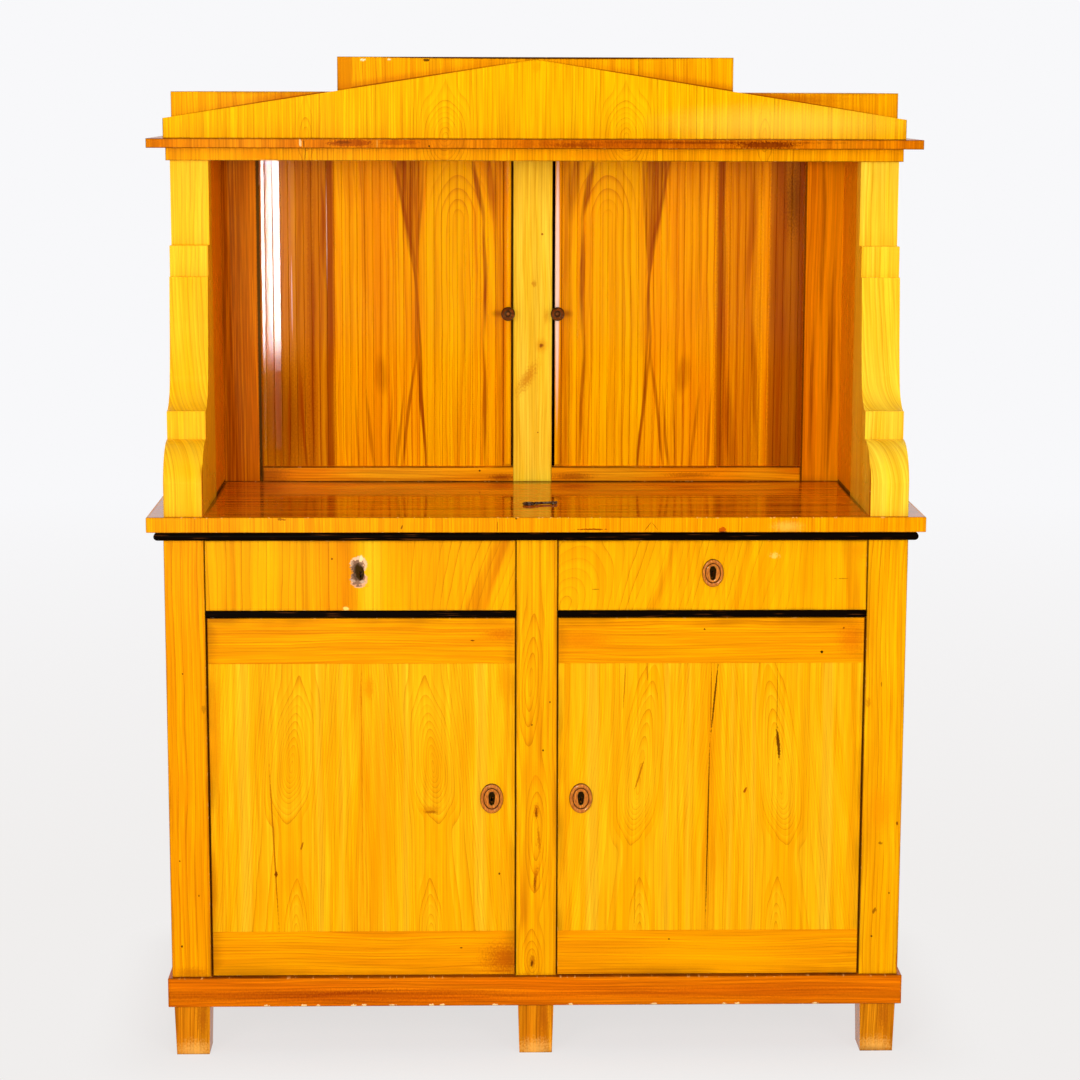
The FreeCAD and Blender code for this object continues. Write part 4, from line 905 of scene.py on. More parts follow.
def stand(name: str, data: bpy.types.ID) -> bpy.types.Object:
    """Add an object for a mesh, lamp or camera to the scene, at the origin."""
    holder = bpy.data.objects.new(name, data)
    bpy.context.scene.collection.objects.link(holder)
    return holder


@dataclass
class Piece:
    """A new surface: its points, faces, finish and the body that it moves with."""

    name: str
    points: np.ndarray
    faces: list[np.ndarray]
    finish: Finish
    slot: str
    body: str
    replaces: tuple[str, ...] = ()
    attributes: dict[str, np.ndarray] = field(default_factory=dict)
    sharp_deg: float = 35.0

    def make(self) -> bpy.types.Object:
        """Build the mesh, close its poles, turn its faces outwards, dress it and let it ride on its body.

        Returns:
            The finished object, at the origin with its place in its mesh.
        """
        mesh = bpy.data.meshes.new(self.name)
        polygons = [row for block in self.faces for row in block.tolist()]
        mesh.from_pydata(self.points.reshape(-1, 3).tolist(), [], polygons)
        for name, values in self.attributes.items():
            kind, key = ("FLOAT_VECTOR", "vector") if values.ndim > 1 else ("FLOAT", "value")
            mesh.attributes.new(name, kind, "POINT").data.foreach_set(key, values.astype(np.float32).ravel())
        shell = bmesh.new()
        shell.from_mesh(mesh)
        bmesh.ops.remove_doubles(shell, verts=shell.verts, dist=WELD_MM * MM)
        bmesh.ops.recalc_face_normals(shell, faces=shell.faces)
        shell.to_mesh(mesh)
        shell.free()
        mesh.shade_smooth()
        mesh.set_sharp_from_angle(angle=math.radians(self.sharp_deg))
        piece = stand(self.name, mesh)
        mesh.materials.append(self.finish.material(self.name))
        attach(piece, self.body)
        if self.replaces:
            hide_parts(*self.replaces)
        LOG.info("made %s with %d faces on %s", self.name, len(mesh.polygons), self.body)
        return piece


def dress(node: str, finish: Finish) -> None:
    """Put a finish on a node of the frame, in every slot that it has."""
    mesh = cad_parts[node].data
    material = finish.material(node)
    if not mesh.materials:
        mesh.materials.append(material)
    for i in range(len(mesh.materials)):
        mesh.materials[i] = material
    LOG.info("dressed %s in %s", node, type(finish).__name__)


def turned(profile: np.ndarray, centre: np.ndarray, steps: int) -> tuple[np.ndarray, np.ndarray]:
    """Turn a profile about an axis that runs back along Y through a centre.

    Each point is the centre, moved by the profile's radius round the axis and by its depth along it.

    Args:
        profile: Rows of radius and depth.
        centre: A point on the axis, where depth is zero.
        steps: Points round the axis.

    Returns:
        The points and the faces between them.
    """
    turn = np.linspace(0.0, 2 * np.pi, steps, endpoint=False)
    radius, depth = profile[:, :1], profile[:, 1:]
    ring = np.stack([radius * np.cos(turn), depth + 0.0 * turn, radius * np.sin(turn)], -1)
    return (ring + centre).reshape(-1, 3), grid_quads(len(profile), steps, wrap_columns=True)


HONEY = Tone("#ffc60c", "#fcae00", "#cc6c00", "#b05400")
DRAWER_HONEY = Tone("#ffc608", "#faa600", "#bc6400", "#c06000")
DOOR_HONEY = Tone("#ffd220", "#feb000", "#cc7400", "#a85200")
CROWN_HONEY = Tone("#ffd00c", "#feba00", "#c87000", "#a85200")
ATTIC_HONEY = Tone("#ffc008", "#faa800", "#c06400", "#a04800")
FRIEZE_HONEY = Tone("#ffb404", "#faa600", "#c06400", "#a04800")
RAIL_HONEY = Tone("#ffb400", "#fba000", "#c86400", "#a84800")
NICHE_RAIL = Tone("#ffb004", "#fc8e00", "#b44800", "#803400")
PALE_HONEY = Tone("#ffe450", "#fed028", "#dc9404", "#c07010")
WARM_HONEY = Tone("#ffd430", "#febe10", "#d88c04", "#c07010")
NICHE_WALL = Tone("#ffac06", "#fe9200", "#c45800", "#8a3a00")
DEEP_ORANGE = Tone("#ff9c00", "#f08000", "#bc5000", "#8a3a00")
CORNICE_ORANGE = Tone("#ee8e00", "#da7200", "#a04400", "#6e2a00")
PLINTH_ORANGE = Tone("#fa9002", "#e87200", "#983c00", "#6e2a00")
DECK_ORANGE = Tone("#ffa004", "#ec7a00", "#a04000", "#7a2e00")
FOOT_ORANGE = Tone("#faac18", "#e88608", "#8c3e00", "#6e2a00")
FLAME = Tone("#ffc400", "#ffa400", "#d86400", "#9a3e00")


@dataclass
class LowerCase:
    """Feet, plinth, posts, panels and the inside boards of the lower case."""

    wear: Wear = Wear()
    left_spots: tuple[Mark, ...] = (
        Mark(-5, 480, 50, 130, "#f08c00", 0.5, 0.95, 0.3),
        Mark(0, 150, 80, 26, "#c06400", 0.6, 0.9, 0.3),
        Mark(29, 619, 9, 18, "#b87000", 0.7, 0.5, 0.4),
        Mark(-17, 350, 3, 4, "#6a2c00"),
        Mark(-16, 197, 4, 5, "#4a1c00"),
        Mark(15, 288, 3, 4, "#7a3400"),
        Mark(-6, 681, 3, 4, "#7a3400"),
    )
    right_spots: tuple[Mark, ...] = (
        Mark(0, 440, 66, 120, "#ee8a00", 0.55, 0.95, 0.3),
        Mark(33, 165, 7, 70, "#b04000", 0.7, 0.8, 0.3),
        Mark(-28, 628, 12, 24, "#c07000", 0.65, 0.8, 0.4),
        Mark(-9, 256, 8, 15, "#8a4400", 0.85, 0.6, 0.5, 0.4),
        Mark(-1, 378, 11, 6, "#8a4400", 0.8, 0.6, 0.5),
        Mark(27, 413, 4, 9, "#7a3400", 0.9),
        Mark(16, 288, 3, 4, "#7a3400"),
        Mark(-13, 210, 4, 5, "#5a2400"),
        Mark(-6, 660, 3, 9, "#a86000", 0.9),
    )
    stile_eyes: tuple[Eye, ...] = (
        Eye(-11, 665, 26, 26, 0.04, 5.4, crowding=1),
        Eye(1, 400, 24, 26, 0, 6.4, crowding=0.3),
        Eye(-6, 166, 12, 10, 0, 4.4, crowding=1),
    )
    stile_knots: tuple[Mark, ...] = (
        Mark(-2, 500, 52, 70, "#ec8e00", 0.5, 0.95, 0.3),
        Mark(0, 438, 15, 40, "#c06000", 0.75, 0.9, 0.3),
        Mark(0, 434, 5, 24, "#7a3000", 0.85, 0.5, 0.5),
        Mark(5, 385, 7, 64, "#b86000", 0.75, 0.8, 0.4, -0.1),
        Mark(-1, 318, 9, 56, "#b05400", 0.75, 0.8, 0.4, 0.15),
        Mark(-2, 308, 3.4, 32, "#7a3000", 0.85, 0.5, 0.4),
        Mark(-6, 167, 14, 36, "#b05800", 0.75, 0.8, 0.3),
        Mark(-7, 163, 5, 15, "#5a2000", 0.9, 0.5, 0.4),
        Mark(11.5, 545, 4, 4, "#2a0c00"),
        Mark(-8, 590, 3, 3.5, "#6a2c00"),
        Mark(23, 630, 3, 4, "#7a3c00"),
    )
    plinth_shade: tuple[Mark, ...] = (
        Mark(-330, 108, 900, 34, "#c04e00", 0.75, 0.9, 0.3),
        Mark(350, 112, 700, 30, "#c85400", 0.6, 0.9, 0.3),
        Mark(-340, 112, 230, 12, "#962e00", 0.6, 0.9, 0.4, -0.05),
    )
    nick: Mark = Mark(0, 2, 10, 4, "#ffdc98", 0.9, 0.3, 0.8)
    nicks_mm: tuple[float, ...] = (
        *(-470.0, -405.0, -380.0, -318.0, -300.0, -250.0, -182.0, -164.0, -70.0),
        *(60.0, 205.0, 330.0, 352.0, 490.0),
    )
    foot_mm: float = 596.0
    foot_spots: tuple[Mark, ...] = (
        Mark(14, 66, 26, 80, "#a85006", 0.6, 0.9, 0.4),
        Mark(0, 104, 66, 16, "#8a3c00", 0.6, 0.9, 0.5),
        Mark(0, 6, 96, 56, "#f8bc5c", 0.6, 0.95, 0.4),
    )
    panel_eyes: tuple[Eye, ...] = (Eye(-60, 520, 40, 22), Eye(110, 260, 50, 30))

    def dress(self) -> None:
        """Give each board of the lower case its own cut of cherry or softwood."""
        for side, tone, spots in (("left", RAIL_HONEY, self.left_spots), ("right", HONEY, self.right_spots)):
            node = f"post_front_{side}"
            marks = tuple(spot.at(middle_mm(node)[0], 0.0) for spot in spots)
            dress(node, PolishedCherry(Lay.UPRIGHT_FRONT, tone, 7.0, marks=marks, wear=self.wear))
        stile = PolishedCherry(
            Lay.UPRIGHT_FRONT,
            HONEY,
            5.0,
            eyes=self.stile_eyes,
            marks=self.stile_knots,
            wear=self.wear,
            fibre=0.4,
            rib=0.4,
            blotch=0.6,
            bend_mm=6.0,
        )
        dress("centre_stile", stile)
        dress("side_panels", PolishedCherry(Lay.UPRIGHT_SIDE, HONEY, eyes=self.panel_eyes, gloss=0.05))
        returns = PolishedCherry(Lay.LEVEL_ROUND, PLINTH_ORANGE, 6.0, rib=0.4)
        edge_mm = corners("plinth_front")[0, 2] / MM
        plinth = replace(
            returns,
            stains=self.plinth_shade,
            marks=tuple(self.nick.at(x_mm, edge_mm) for x_mm in self.nicks_mm),
            wear=Wear(6.0, 0.4, 3.0, 0.5, 1.4, 0.6),
            lines=0.7,
            rib=0.3,
        )
        dress("plinth_front", plinth)
        dress("plinth_returns", returns)
        feet_mm = (-self.foot_mm, 0.0, self.foot_mm)
        feet = PolishedCherry(
            Lay.UPRIGHT_FRONT,
            FOOT_ORANGE,
            6.0,
            marks=tuple(spot.at(x_mm, 0.0) for x_mm in feet_mm for spot in self.foot_spots),
            wear=Wear(12.0, 0.6, 3.0, 0.5, 2.0, 0.6),
            rib=0.35,
        )
        dress("feet_front", feet)
        softwood = {
            Lay.UPRIGHT_FRONT: ("feet_rear", "rear_posts", "partition", "back_boards"),
            Lay.LEVEL_TOP: ("bottom_board", "cupboard_shelves"),
            Lay.LEVEL_DEEP: ("drawer_frame",),
        }
        for lay, nodes in softwood.items():
            for node in nodes:
                dress(node, BareSoftwood(lay))
        dress("drawer_dividers", EbonisedWood())
        dress("pivot_sockets", OldIron())


@dataclass
class Escutcheon:
    """Oval wooden keyhole plate: a bead round a groove, a flat field and the keyhole itself.

    Its profile is given as shares of the way out from the keyhole, and of the plate's thickness there.
    """

    node: str
    body: str
    hole_mm: tuple[float, float] = (10.5, 24.0)
    taper: float = 0.12
    squareness: float = 3.2
    field_share: float = 0.66
    steps: int = 96
    reach: tuple[float, ...] = (
        *(0.0, 0.0, 0.05, 0.4, 0.62, 0.66, 0.68, 0.7),
        *(0.74, 0.8, 0.86, 0.92, 0.96, 0.99, 1.0, 1.0),
    )
    rise: tuple[float, ...] = (
        *(0.0, 0.5, 0.54, 0.6, 0.6, 0.55, 0.3, 0.5),
        *(0.84, 0.98, 1.0, 0.93, 0.78, 0.55, 0.35, 0.0),
    )
    # Of its dark rings, the one at the keyhole's edge paints shade down into the hole, and the one at the
    # plate's rim is grime and painted shade where the plate meets the board.
    finish: Finish = TurnedWood("#d47c18", "#9c4c06", "#0c0300", (0.68, 0.0, 1.0), 0.06, 0.2, 0.5)

    def keyhole(self, turn: np.ndarray) -> np.ndarray:
        """Edge of the keyhole round its middle.

        It is a rounded oblong: the radius at which the sum of the offsets' powers, each over half the hole's
        size, is one. It narrows downwards.

        Args:
            turn: Angles round the middle.

        Returns:
            Rows of X and Z.
        """
        half = np.array(self.hole_mm) / 2 * MM
        aim = np.stack([np.cos(turn), np.sin(turn)], -1)
        power = self.squareness
        radius = (np.abs(aim / half) ** power).sum(-1, keepdims=True) ** (-1 / power)
        narrowed = np.stack([1 + self.taper * np.sin(turn), np.ones_like(turn)], -1)
        return radius * aim * narrowed

    def build(self) -> None:
        """Blend from the keyhole's edge to an inner oval and out to the plate's edge, raised by the profile.

        A point lies at a share of the way from the keyhole to the inner oval, or on an oval between the inner
        and the outer one, and as far out of the face as the profile says for that share.
        """
        low, high = corners(self.node)
        middle, half = (low + high) / 2, (high - low) / 2
        turn = np.linspace(0.0, 2 * np.pi, self.steps, endpoint=False)
        hole = self.keyhole(turn)
        oval = np.stack([half[0] * np.cos(turn), half[2] * np.sin(turn)], -1)
        reach = np.array(self.reach)[:, None, None]
        inner = np.minimum(reach / self.field_share, 1.0)
        flat = np.where(inner < 1.0, hole + (self.field_share * oval - hole) * inner, oval * reach)
        depth = high[1] - np.array(self.rise)[:, None] * (high[1] - low[1])
        x, z = flat[..., 0] + middle[0], flat[..., 1] + middle[2]
        points = np.stack(np.broadcast_arrays(x, depth, z), -1)
        faces = [grid_quads(len(self.reach), self.steps, wrap_columns=True)]
        shares = {"reach": np.repeat(self.reach, self.steps)}
        name = f"{self.node}_turned"
        Piece(name, points, faces, self.finish, "escutcheon", self.body, (self.node,), shares).make()


# Painted shade: a black oval on the wood behind each keyhole, for the dark inside of the hole.
KEYHOLE_SHADE = Mark(0, 0, 14, 27, "#060200", 1, 0.15, 0)
KEY_LEVEL_MM = 855.0


@dataclass
class Door:
    """A door of two book-matched boards between cross-grained rails."""

    side: str
    eyes: tuple[Eye, ...]
    marks: tuple[Mark, ...]
    rail_marks: tuple[Mark, ...] = ()
    bands: tuple[Streak, ...] = (
        Streak(203, 460, 14, 0.35, colour="#ffd838"),
        Streak(74, 460, 7, 0.3, colour="#ffd030"),
        Streak(36, 460, 5, 0.25, colour="#ffd030"),
        Streak(6, 460, 16, 0.35, colour="#f09400"),
        Streak(246, 460, 9, 0.3, colour="#f09400"),
    )

    def dress(self) -> None:
        """Dress the boards and rails, then the ironwork, and turn the keyhole plate."""
        body = f"door_{self.side}"
        hole_x, _, hole_z = middle_mm(f"{body}_escutcheon")
        boards = PolishedCherry(
            Lay.UPRIGHT_FRONT,
            DOOR_HONEY,
            4.5,
            middle_mm(f"{body}_boards")[0],
            eyes=self.eyes,
            streaks=self.bands,
            marks=(*self.marks, KEYHOLE_SHADE.at(hole_x, hole_z)),
            wear=Wear(18.0, 0.4),
            bands=0.35,
            lines=0.8,
            early=0.45,
            fibre=0.35,
            bend_mm=8.0,
        )
        dress(f"{body}_boards", boards)
        worn = Wear(26.0, 0.45)
        rails = PolishedCherry(Lay.LEVEL_FRONT, RAIL_HONEY, 5.0, marks=self.rail_marks, wear=worn, blotch=0.6)
        dress(f"{body}_rails", rails)
        for fitting in ("ironwork", "bolt"):
            dress(f"{body}_{fitting}", OldIron())
        Escutcheon(f"{body}_escutcheon", body).build()


@dataclass
class Drawer:
    """A drawer with a flame-veneered front on a softwood box."""

    side: str
    front: PolishedCherry

    def dress(self) -> None:
        """Dress the front, box and lock, and turn the keyhole plate where there is one."""
        body = f"drawer_{self.side}"
        keyhole = KEYHOLE_SHADE.at(middle_mm(f"{body}_front")[0], KEY_LEVEL_MM)
        dress(f"{body}_front", replace(self.front, marks=(*self.front.marks, keyhole)))
        dress(f"{body}_box", BareSoftwood(Lay.LEVEL_DEEP))
        for fitting in ("lock", "bolt"):
            dress(f"{body}_{fitting}", OldIron())
        if f"{body}_escutcheon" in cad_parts:
            Escutcheon(f"{body}_escutcheon", body).build()


@dataclass
class Worktop:
    """The polished top, its cross-grained edge and the ebonised moulding under it.

    The worktop is seen almost edge on, so its grain is drawn several times coarser than the real one. Each of
    its dark streaks has a place in depth and one along the top.
    """

    streaks_mm: tuple[tuple[float, float], ...] = (
        *((-296.0, -300.0), (-268.0, 240.0), (-232.0, -120.0), (-190.0, 380.0)),
        *((-150.0, -420.0), (-104.0, 90.0), (-62.0, -260.0), (-10.0, 330.0)),
    )
    # Painted shade: dark lines where the top meets the hutch's bottom rail and its two side walls.
    joints: tuple[Mark, ...] = (
        Mark(0, 84, 1180, 30, "#100400", 1, 0.4, 0.1),
        Mark(-562, -95, 9, 460, "#160600", 0.95, 0.4, 0.1),
        Mark(562, -95, 9, 460, "#160600", 0.95, 0.4, 0.1),
    )
    sunned: Mark = Mark(330, -100, 620, 520, "#ffa408", 0.4, 0.9, 0.1)
    edge_marks: tuple[Mark, ...] = (
        Mark(92, 933.5, 54, 3.6, "#8a3c00", 0.9, ragged=0.6),
        Mark(187, 938, 1.6, 22, "#7a3800", 0.9, lean=0.75),
        Mark(199, 939, 1.6, 18, "#9a5000", 0.8, lean=-0.8),
        Mark(314, 932, 15, 11, "#b84400", 0.9, 0.2, 0.4),
        Mark(314, 929, 18, 2, "#2a0c00", 0.9),
        Mark(424, 938, 70, 26, "#ffd860", 0.3, 0.9, 0.3),
        Mark(-432, 951, 16, 5, "#7a3c00", 0.8, ragged=0.7),
        Mark(-229, 937, 3, 10, "#6a2c00", 0.9, lean=0.3),
        Mark(-67.5, 938, 1.8, 24, "#8a4400", 0.9),
        Mark(-36, 952, 3.5, 4, "#140400"),
        Mark(-556, 941, 1.6, 40, "#b06000", 0.8),
    )

    def dress(self) -> None:
        """Polish the top like a mirror and dress its edge and moulding."""
        top = PolishedCherry(
            Lay.LEVEL_TOP,
            DECK_ORANGE,
            24.0,
            streaks=tuple(Streak(y_mm, x_mm, 11.0, 0.85, reach_mm=460.0) for y_mm, x_mm in self.streaks_mm),
            stains=(self.sunned,),
            marks=self.joints,
            roughness=0.03,
            gloss=0.42,
            sheen_tint="#ffc060",
            lines=0.95,
            fibre=0.6,
            rib=0.6,
            relief_mm=0.006,
        )
        dress("worktop", top)
        edge = PolishedCherry(
            Lay.CROSS_EDGE,
            RAIL_HONEY,
            5.0,
            marks=self.edge_marks,
            wear=Wear(3.0, 0.4, 3.0, 0.6, 1.0, 0.6),
            blotch=0.7,
            bands=0.6,
        )
        dress("worktop_lipping", edge)
        dress("worktop_moulding", EbonisedWood())


@dataclass
class Tambour:
    """A roll door: flat slats with eased edges on canvas behind a rounded lead slat with a turned knob.

    A slat's section is given as shares of its half width and of its depth. The knob's profile is given as
    shares of its radius and depths from its front: its face first, then its rim, neck and spigot.
    """

    side: str
    sign: int
    slats: int = 35
    slat_share: tuple[float, ...] = (-1, -1, -0.97, -0.93, -0.91, -0.89, 0, 0.89, 0.91, 0.93, 0.97, 1, 1)
    slat_set_back: tuple[float, ...] = (1, 0.09, 0.035, 0.008, 0, 0, 0, 0, 0, 0.008, 0.035, 0.09, 1)
    gap_mm: float = 0.12
    tilt_mm: float = 0.03
    unevenness_mm: float = 0.12
    unevenness_seed: int = 7
    canvas_mm: float = 0.8
    canvas_margin_mm: float = 20.0
    canvas_points: tuple[int, int] = (36, 30)
    nosing_clearance_mm: float = 4.0
    nosing_points: int = 17
    nosing_power: float = 0.7
    nosing_sharp_deg: float = 50.0
    knob_face: tuple[float, ...] = (0, 0.16, 0.27, 0.33, 0.4, 0.52, 0.64, 0.74, 0.84, 0.93, 0.99)
    knob_face_mm: tuple[float, ...] = (2.4, 2.6, 3.2, 4.2, 4.6, 4.2, 2.9, 1.2, 0.2, 0, 1)
    knob_neck: tuple[float, ...] = (1, 0.97, 0.85, 0.62, 0.44, 0.4, 0.4, 0.31, 0.31, 0)
    knob_neck_mm: tuple[float, ...] = (3, 6, 9.5, 12.6, 15, 18, 27, 27.2)
    knob_rim: float = 0.98
    knob_steps: int = 48
    knob_sharp_deg: float = 60.0
    knob_finish: Finish = TurnedWood("#8c4818", "#4a1e08", "#020000", (0.38, 0.97), 0.2, 0.3)

    @property
    def finish(self) -> PolishedCherry:
        """Flame veneer that the two roll doors share as mirror images, browner at their outer ends."""
        streaks = (
            Streak(155, 1260, 70, 0.6, colour="#ffc000"),
            Streak(60, 1260, 14, 0.4),
            Streak(99, 1490, 7, 0.85, 0.17, reach_mm=75),
            Streak(89, 1330, 5, 0.85, reach_mm=150),
            Streak(89, 1090, 5, 0.7, 0.02, reach_mm=190),
            Streak(76, 1500, 14, 0.6, 0.1, reach_mm=90),
            Streak(215, 1335, 3.5, 0.8, 0.06, 0.15),
            Streak(234, 1460, 5, 0.7, 0.2, reach_mm=150),
            Streak(205, 1450, 4, 0.5, -0.06, reach_mm=150),
            Streak(214, 1250, 4, 0.7, reach_mm=130),
            Streak(202, 1090, 5, 0.8, 0.1, reach_mm=150),
            Streak(229, 1080, 5, 0.75, -0.14, reach_mm=150),
            Streak(246, 1040, 4, 0.6, -0.1, reach_mm=110),
            Streak(296, 1040, 5, 0.5, 0.1, reach_mm=110),
            Streak(322, 1040, 4, 0.5, 0.04, reach_mm=110),
            Streak(262, 1040, 3, 0.5, -0.04, reach_mm=120),
            Streak(276, 1150, 14, 0.45, 0.06, reach_mm=50),
            Streak(306, 1450, 3, 0.4, reach_mm=180),
        )
        left = (
            Streak(370, 1260, 7, 0.6),
            Streak(398, 1180, 6, 0.55, reach_mm=300),
            Streak(425, 1260, 5, 0.5),
            Streak(470, 1080, 10, 0.5, reach_mm=130),
            Streak(418, 1060, 5, 0.8, 0.05, reach_mm=140),
            Streak(446, 1040, 6, 0.8, -0.05, reach_mm=150),
            Streak(384, 1420, 5, 0.7, 0.04, reach_mm=130),
            Streak(510, 1260, 12, 0.4),
            Streak(536, 1260, 10, 0.6),
        )
        right = (
            Streak(346, 1300, 9, 0.7),
            Streak(362, 1050, 14, 0.6, -0.06, reach_mm=140),
            Streak(410, 1130, 8, 0.6, -0.05, reach_mm=170),
            Streak(398, 1420, 10, 0.5, 0.05, reach_mm=150),
            Streak(452, 1260, 16, 0.5),
            Streak(500, 1260, 22, 0.6),
            Streak(520, 1450, 12, 0.6, 0.1, reach_mm=120),
        )
        return PolishedCherry(
            Lay.FLAT_FRONT,
            FLAME,
            11.0,
            0.0,
            eyes=(Eye(135, 1434, 18, 500, 0, 5, 0, 0),),
            streaks=streaks + (left if self.sign < 0 else right),
            stains=self.stains,
            marks=self.slat_light_and_shade,
            lines=0.8,
            fibre=0.3,
            rib=0.35,
            rest_attribute="rest",
            gloss=0.0,
            coat=0.1,
            coat_roughness=0.035,
            coat_from_mm=1145.0,
            coat_fade_mm=110.0,
            relief_mm=0.01,
        )

    @property
    def stains(self) -> tuple[Mark, ...]:
        """Brown heartwood at the outer end, which differs by side."""
        if self.sign < 0:
            return (
                Mark(-452, 1260, 186, 9000, "#d08006", 0.9, 0.12, 0.02),
                Mark(-460, 1080, 170, 330, "#8c4400", 0.65, 0.9, 0.2),
                Mark(-370, 1260, 22, 9000, "#9c4a00", 0.75, 0.8, 0.05),
                Mark(-405, 1260, 16, 9000, "#a04400", 0.5, 0.8, 0.3),
                Mark(-290, 1260, 120, 9000, "#ec9000", 0.35, 0.9, 0.1),
            )
        return (
            Mark(487, 1260, 113, 9000, "#b46404", 0.9, 0.12, 0.02),
            Mark(505, 1260, 60, 9000, "#803c00", 0.7, 0.9, 0.05),
            Mark(480, 1470, 70, 190, "#603000", 0.6, 0.9, 0.4),
            Mark(343, 1260, 20, 9000, "#984000", 0.8, 0.8, 0.1),
            Mark(385, 1260, 90, 9000, "#d07600", 0.65, 0.6, 0.1),
            Mark(285, 1260, 110, 9000, "#e88c00", 0.35, 0.9, 0.1),
        )

    @property
    def slat_light_and_shade(self) -> tuple[Mark, ...]:
        """Painted light and shade, which differ by side: painted shade in the gap beside the lead slat, the
        knob's painted shadow, and painted highlights on two slat edges of the left door and down the right
        lead slat's nosing.
        """
        if self.sign < 0:
            return (
                # Painted highlights: pale lines down two slat edges, where the window lamp's reflection
                # catches.
                Mark(-375, 1410, 1.8, 250, "#ffe8dc", 0.8, 0.6, 0.05),
                Mark(-439.5, 1292, 1.6, 176, "#ffe8dc", 0.75, 0.6, 0.05),
                # Painted shade in the gap beside the lead slat, and the knob's painted shadow on the slats.
                Mark(-38, 1260, 2.6, 9000, "#140500", 1, 0.3, 0),
                Mark(-62, 1262, 34, 20, "#a04c00", 0.7, 0.95, 0),
            )
        return (
            # Painted shade in the gap beside the lead slat, a painted sheen down its nosing, and the knob's
            # painted shadow.
            Mark(39, 1260, 4.6, 9000, "#0a0300", 1, 0.2, 0),
            Mark(45, 1330, 10, 620, "#fadcd0", 0.85, 0.6, 0),
            Mark(62, 1262, 34, 20, "#a04c00", 0.7, 0.95, 0),
        )

    def build(self) -> None:
        """Make the slats and canvas that stand for the curtain, the lead slat and the knob."""
        self.make_slats()
        self.make_canvas()
        self.make_lead()
        self.make_knob()

    def yielding(self, piece: bpy.types.Object) -> None:
        """Give a piece of the curtain its own copy of its mesh."""
        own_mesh(piece)

    def make_slats(self) -> None:
        """Carry one slat's section up its height, for every slat at once.

        The section is a flat bar with eased front edges. Slats sit a little unevenly, so the front of each is
        set back and tilted by its own small amounts.
        """
        node = f"tambour_{self.side}_curtain"
        low, high = corners(node)
        pitch = (high[0] - low[0]) / self.slats
        half = pitch / 2 - self.gap_mm * MM
        front, back = low[1], high[1] - self.canvas_mm * MM
        share, set_back = np.array(self.slat_share), np.array(self.slat_set_back)
        centres = low[0] + (np.arange(self.slats) + 0.5) * pitch
        chance = np.random.default_rng(self.unevenness_seed)
        recess = chance.uniform(self.tilt_mm, self.unevenness_mm, self.slats) * MM
        tilt = chance.uniform(-self.tilt_mm, self.tilt_mm, self.slats) * MM
        x = centres[:, None, None] + half * share
        sunk = (recess[:, None, None] + tilt[:, None, None] * share) * (set_back < 1.0)
        y = front + set_back * (back - front) + sunk
        z = np.array([low[2], high[2]])[None, :, None]
        points = np.stack(np.broadcast_arrays(x, y, z), -1)
        count = len(share)
        sides = grid_quads(2, count, wrap_columns=True)
        shift = np.arange(self.slats)[:, None, None] * 2 * count
        ends = np.arange(2 * count).reshape(2, count)
        faces = [(sides + shift).reshape(-1, 4), (ends + shift).reshape(-1, count)]
        rest = {"rest": points.reshape(-1, 3)}
        name = f"tambour_{self.side}_slats"
        self.yielding(Piece(name, points, faces, self.finish, "cherry_flame", "case", (node,), rest).make())

    def make_canvas(self) -> None:
        """Flat sheet of canvas on the back of the slats, as a grid of equal cells."""
        low, high = corners(f"tambour_{self.side}_curtain")
        bottom, top = low[2] + self.canvas_margin_mm * MM, high[2] - self.canvas_margin_mm * MM
        columns, rows = self.canvas_points
        x, z = np.meshgrid(np.linspace(low[0], high[0], columns), np.linspace(bottom, top, rows))
        points = np.stack([x, np.full_like(x, high[1]), z], -1)
        rest = {"rest": points.reshape(-1, 3)}
        name = f"tambour_{self.side}_canvas"
        faces = [grid_quads(rows, columns)]
        piece = Piece(name, points, faces, CottonCanvas(), "cherry_flame", "case", (), rest).make()
        self.yielding(piece)

    def make_lead(self) -> None:
        """Carry the lead slat's section up its height: a tongue for the grooves, with a nosing between them.

        The nosing's front is half a rounded oblong as wide as the slat: a cosine across, and a power of the
        sine outwards.
        """
        body = f"tambour_{self.side}"
        node = f"{body}_lead"
        low, high = corners(node)
        slat_front = corners(f"{body}_curtain")[0, 1]
        clearance = self.nosing_clearance_mm * MM
        floor, ceiling = corners("hutch_bottom_rails")[1, 2] + clearance, corners("frieze")[0, 2] - clearance
        middle, half = (low[0] + high[0]) / 2, (high[0] - low[0]) / 2
        sweep = np.linspace(0.0, np.pi, self.nosing_points)
        nose_x = middle - half * np.cos(sweep)
        nose_y = slat_front - (slat_front - low[1]) * np.sin(sweep) ** self.nosing_power
        back = [[high[0], high[1]], [low[0], high[1]]]
        nosing = np.vstack([np.stack([nose_x, nose_y], -1), back])
        tongue = np.array([[low[0], slat_front], [high[0], slat_front], *back])
        spans = ((nosing, floor, ceiling), (tongue, low[2], floor), (tongue, ceiling, high[2]))
        points, faces = joined(*(prism(*span) for span in spans))
        rest, sharp = {"rest": points}, self.nosing_sharp_deg
        name = f"{node}_rounded"
        Piece(name, points, faces, self.finish, "cherry_flame", body, (node,), rest, sharp).make()

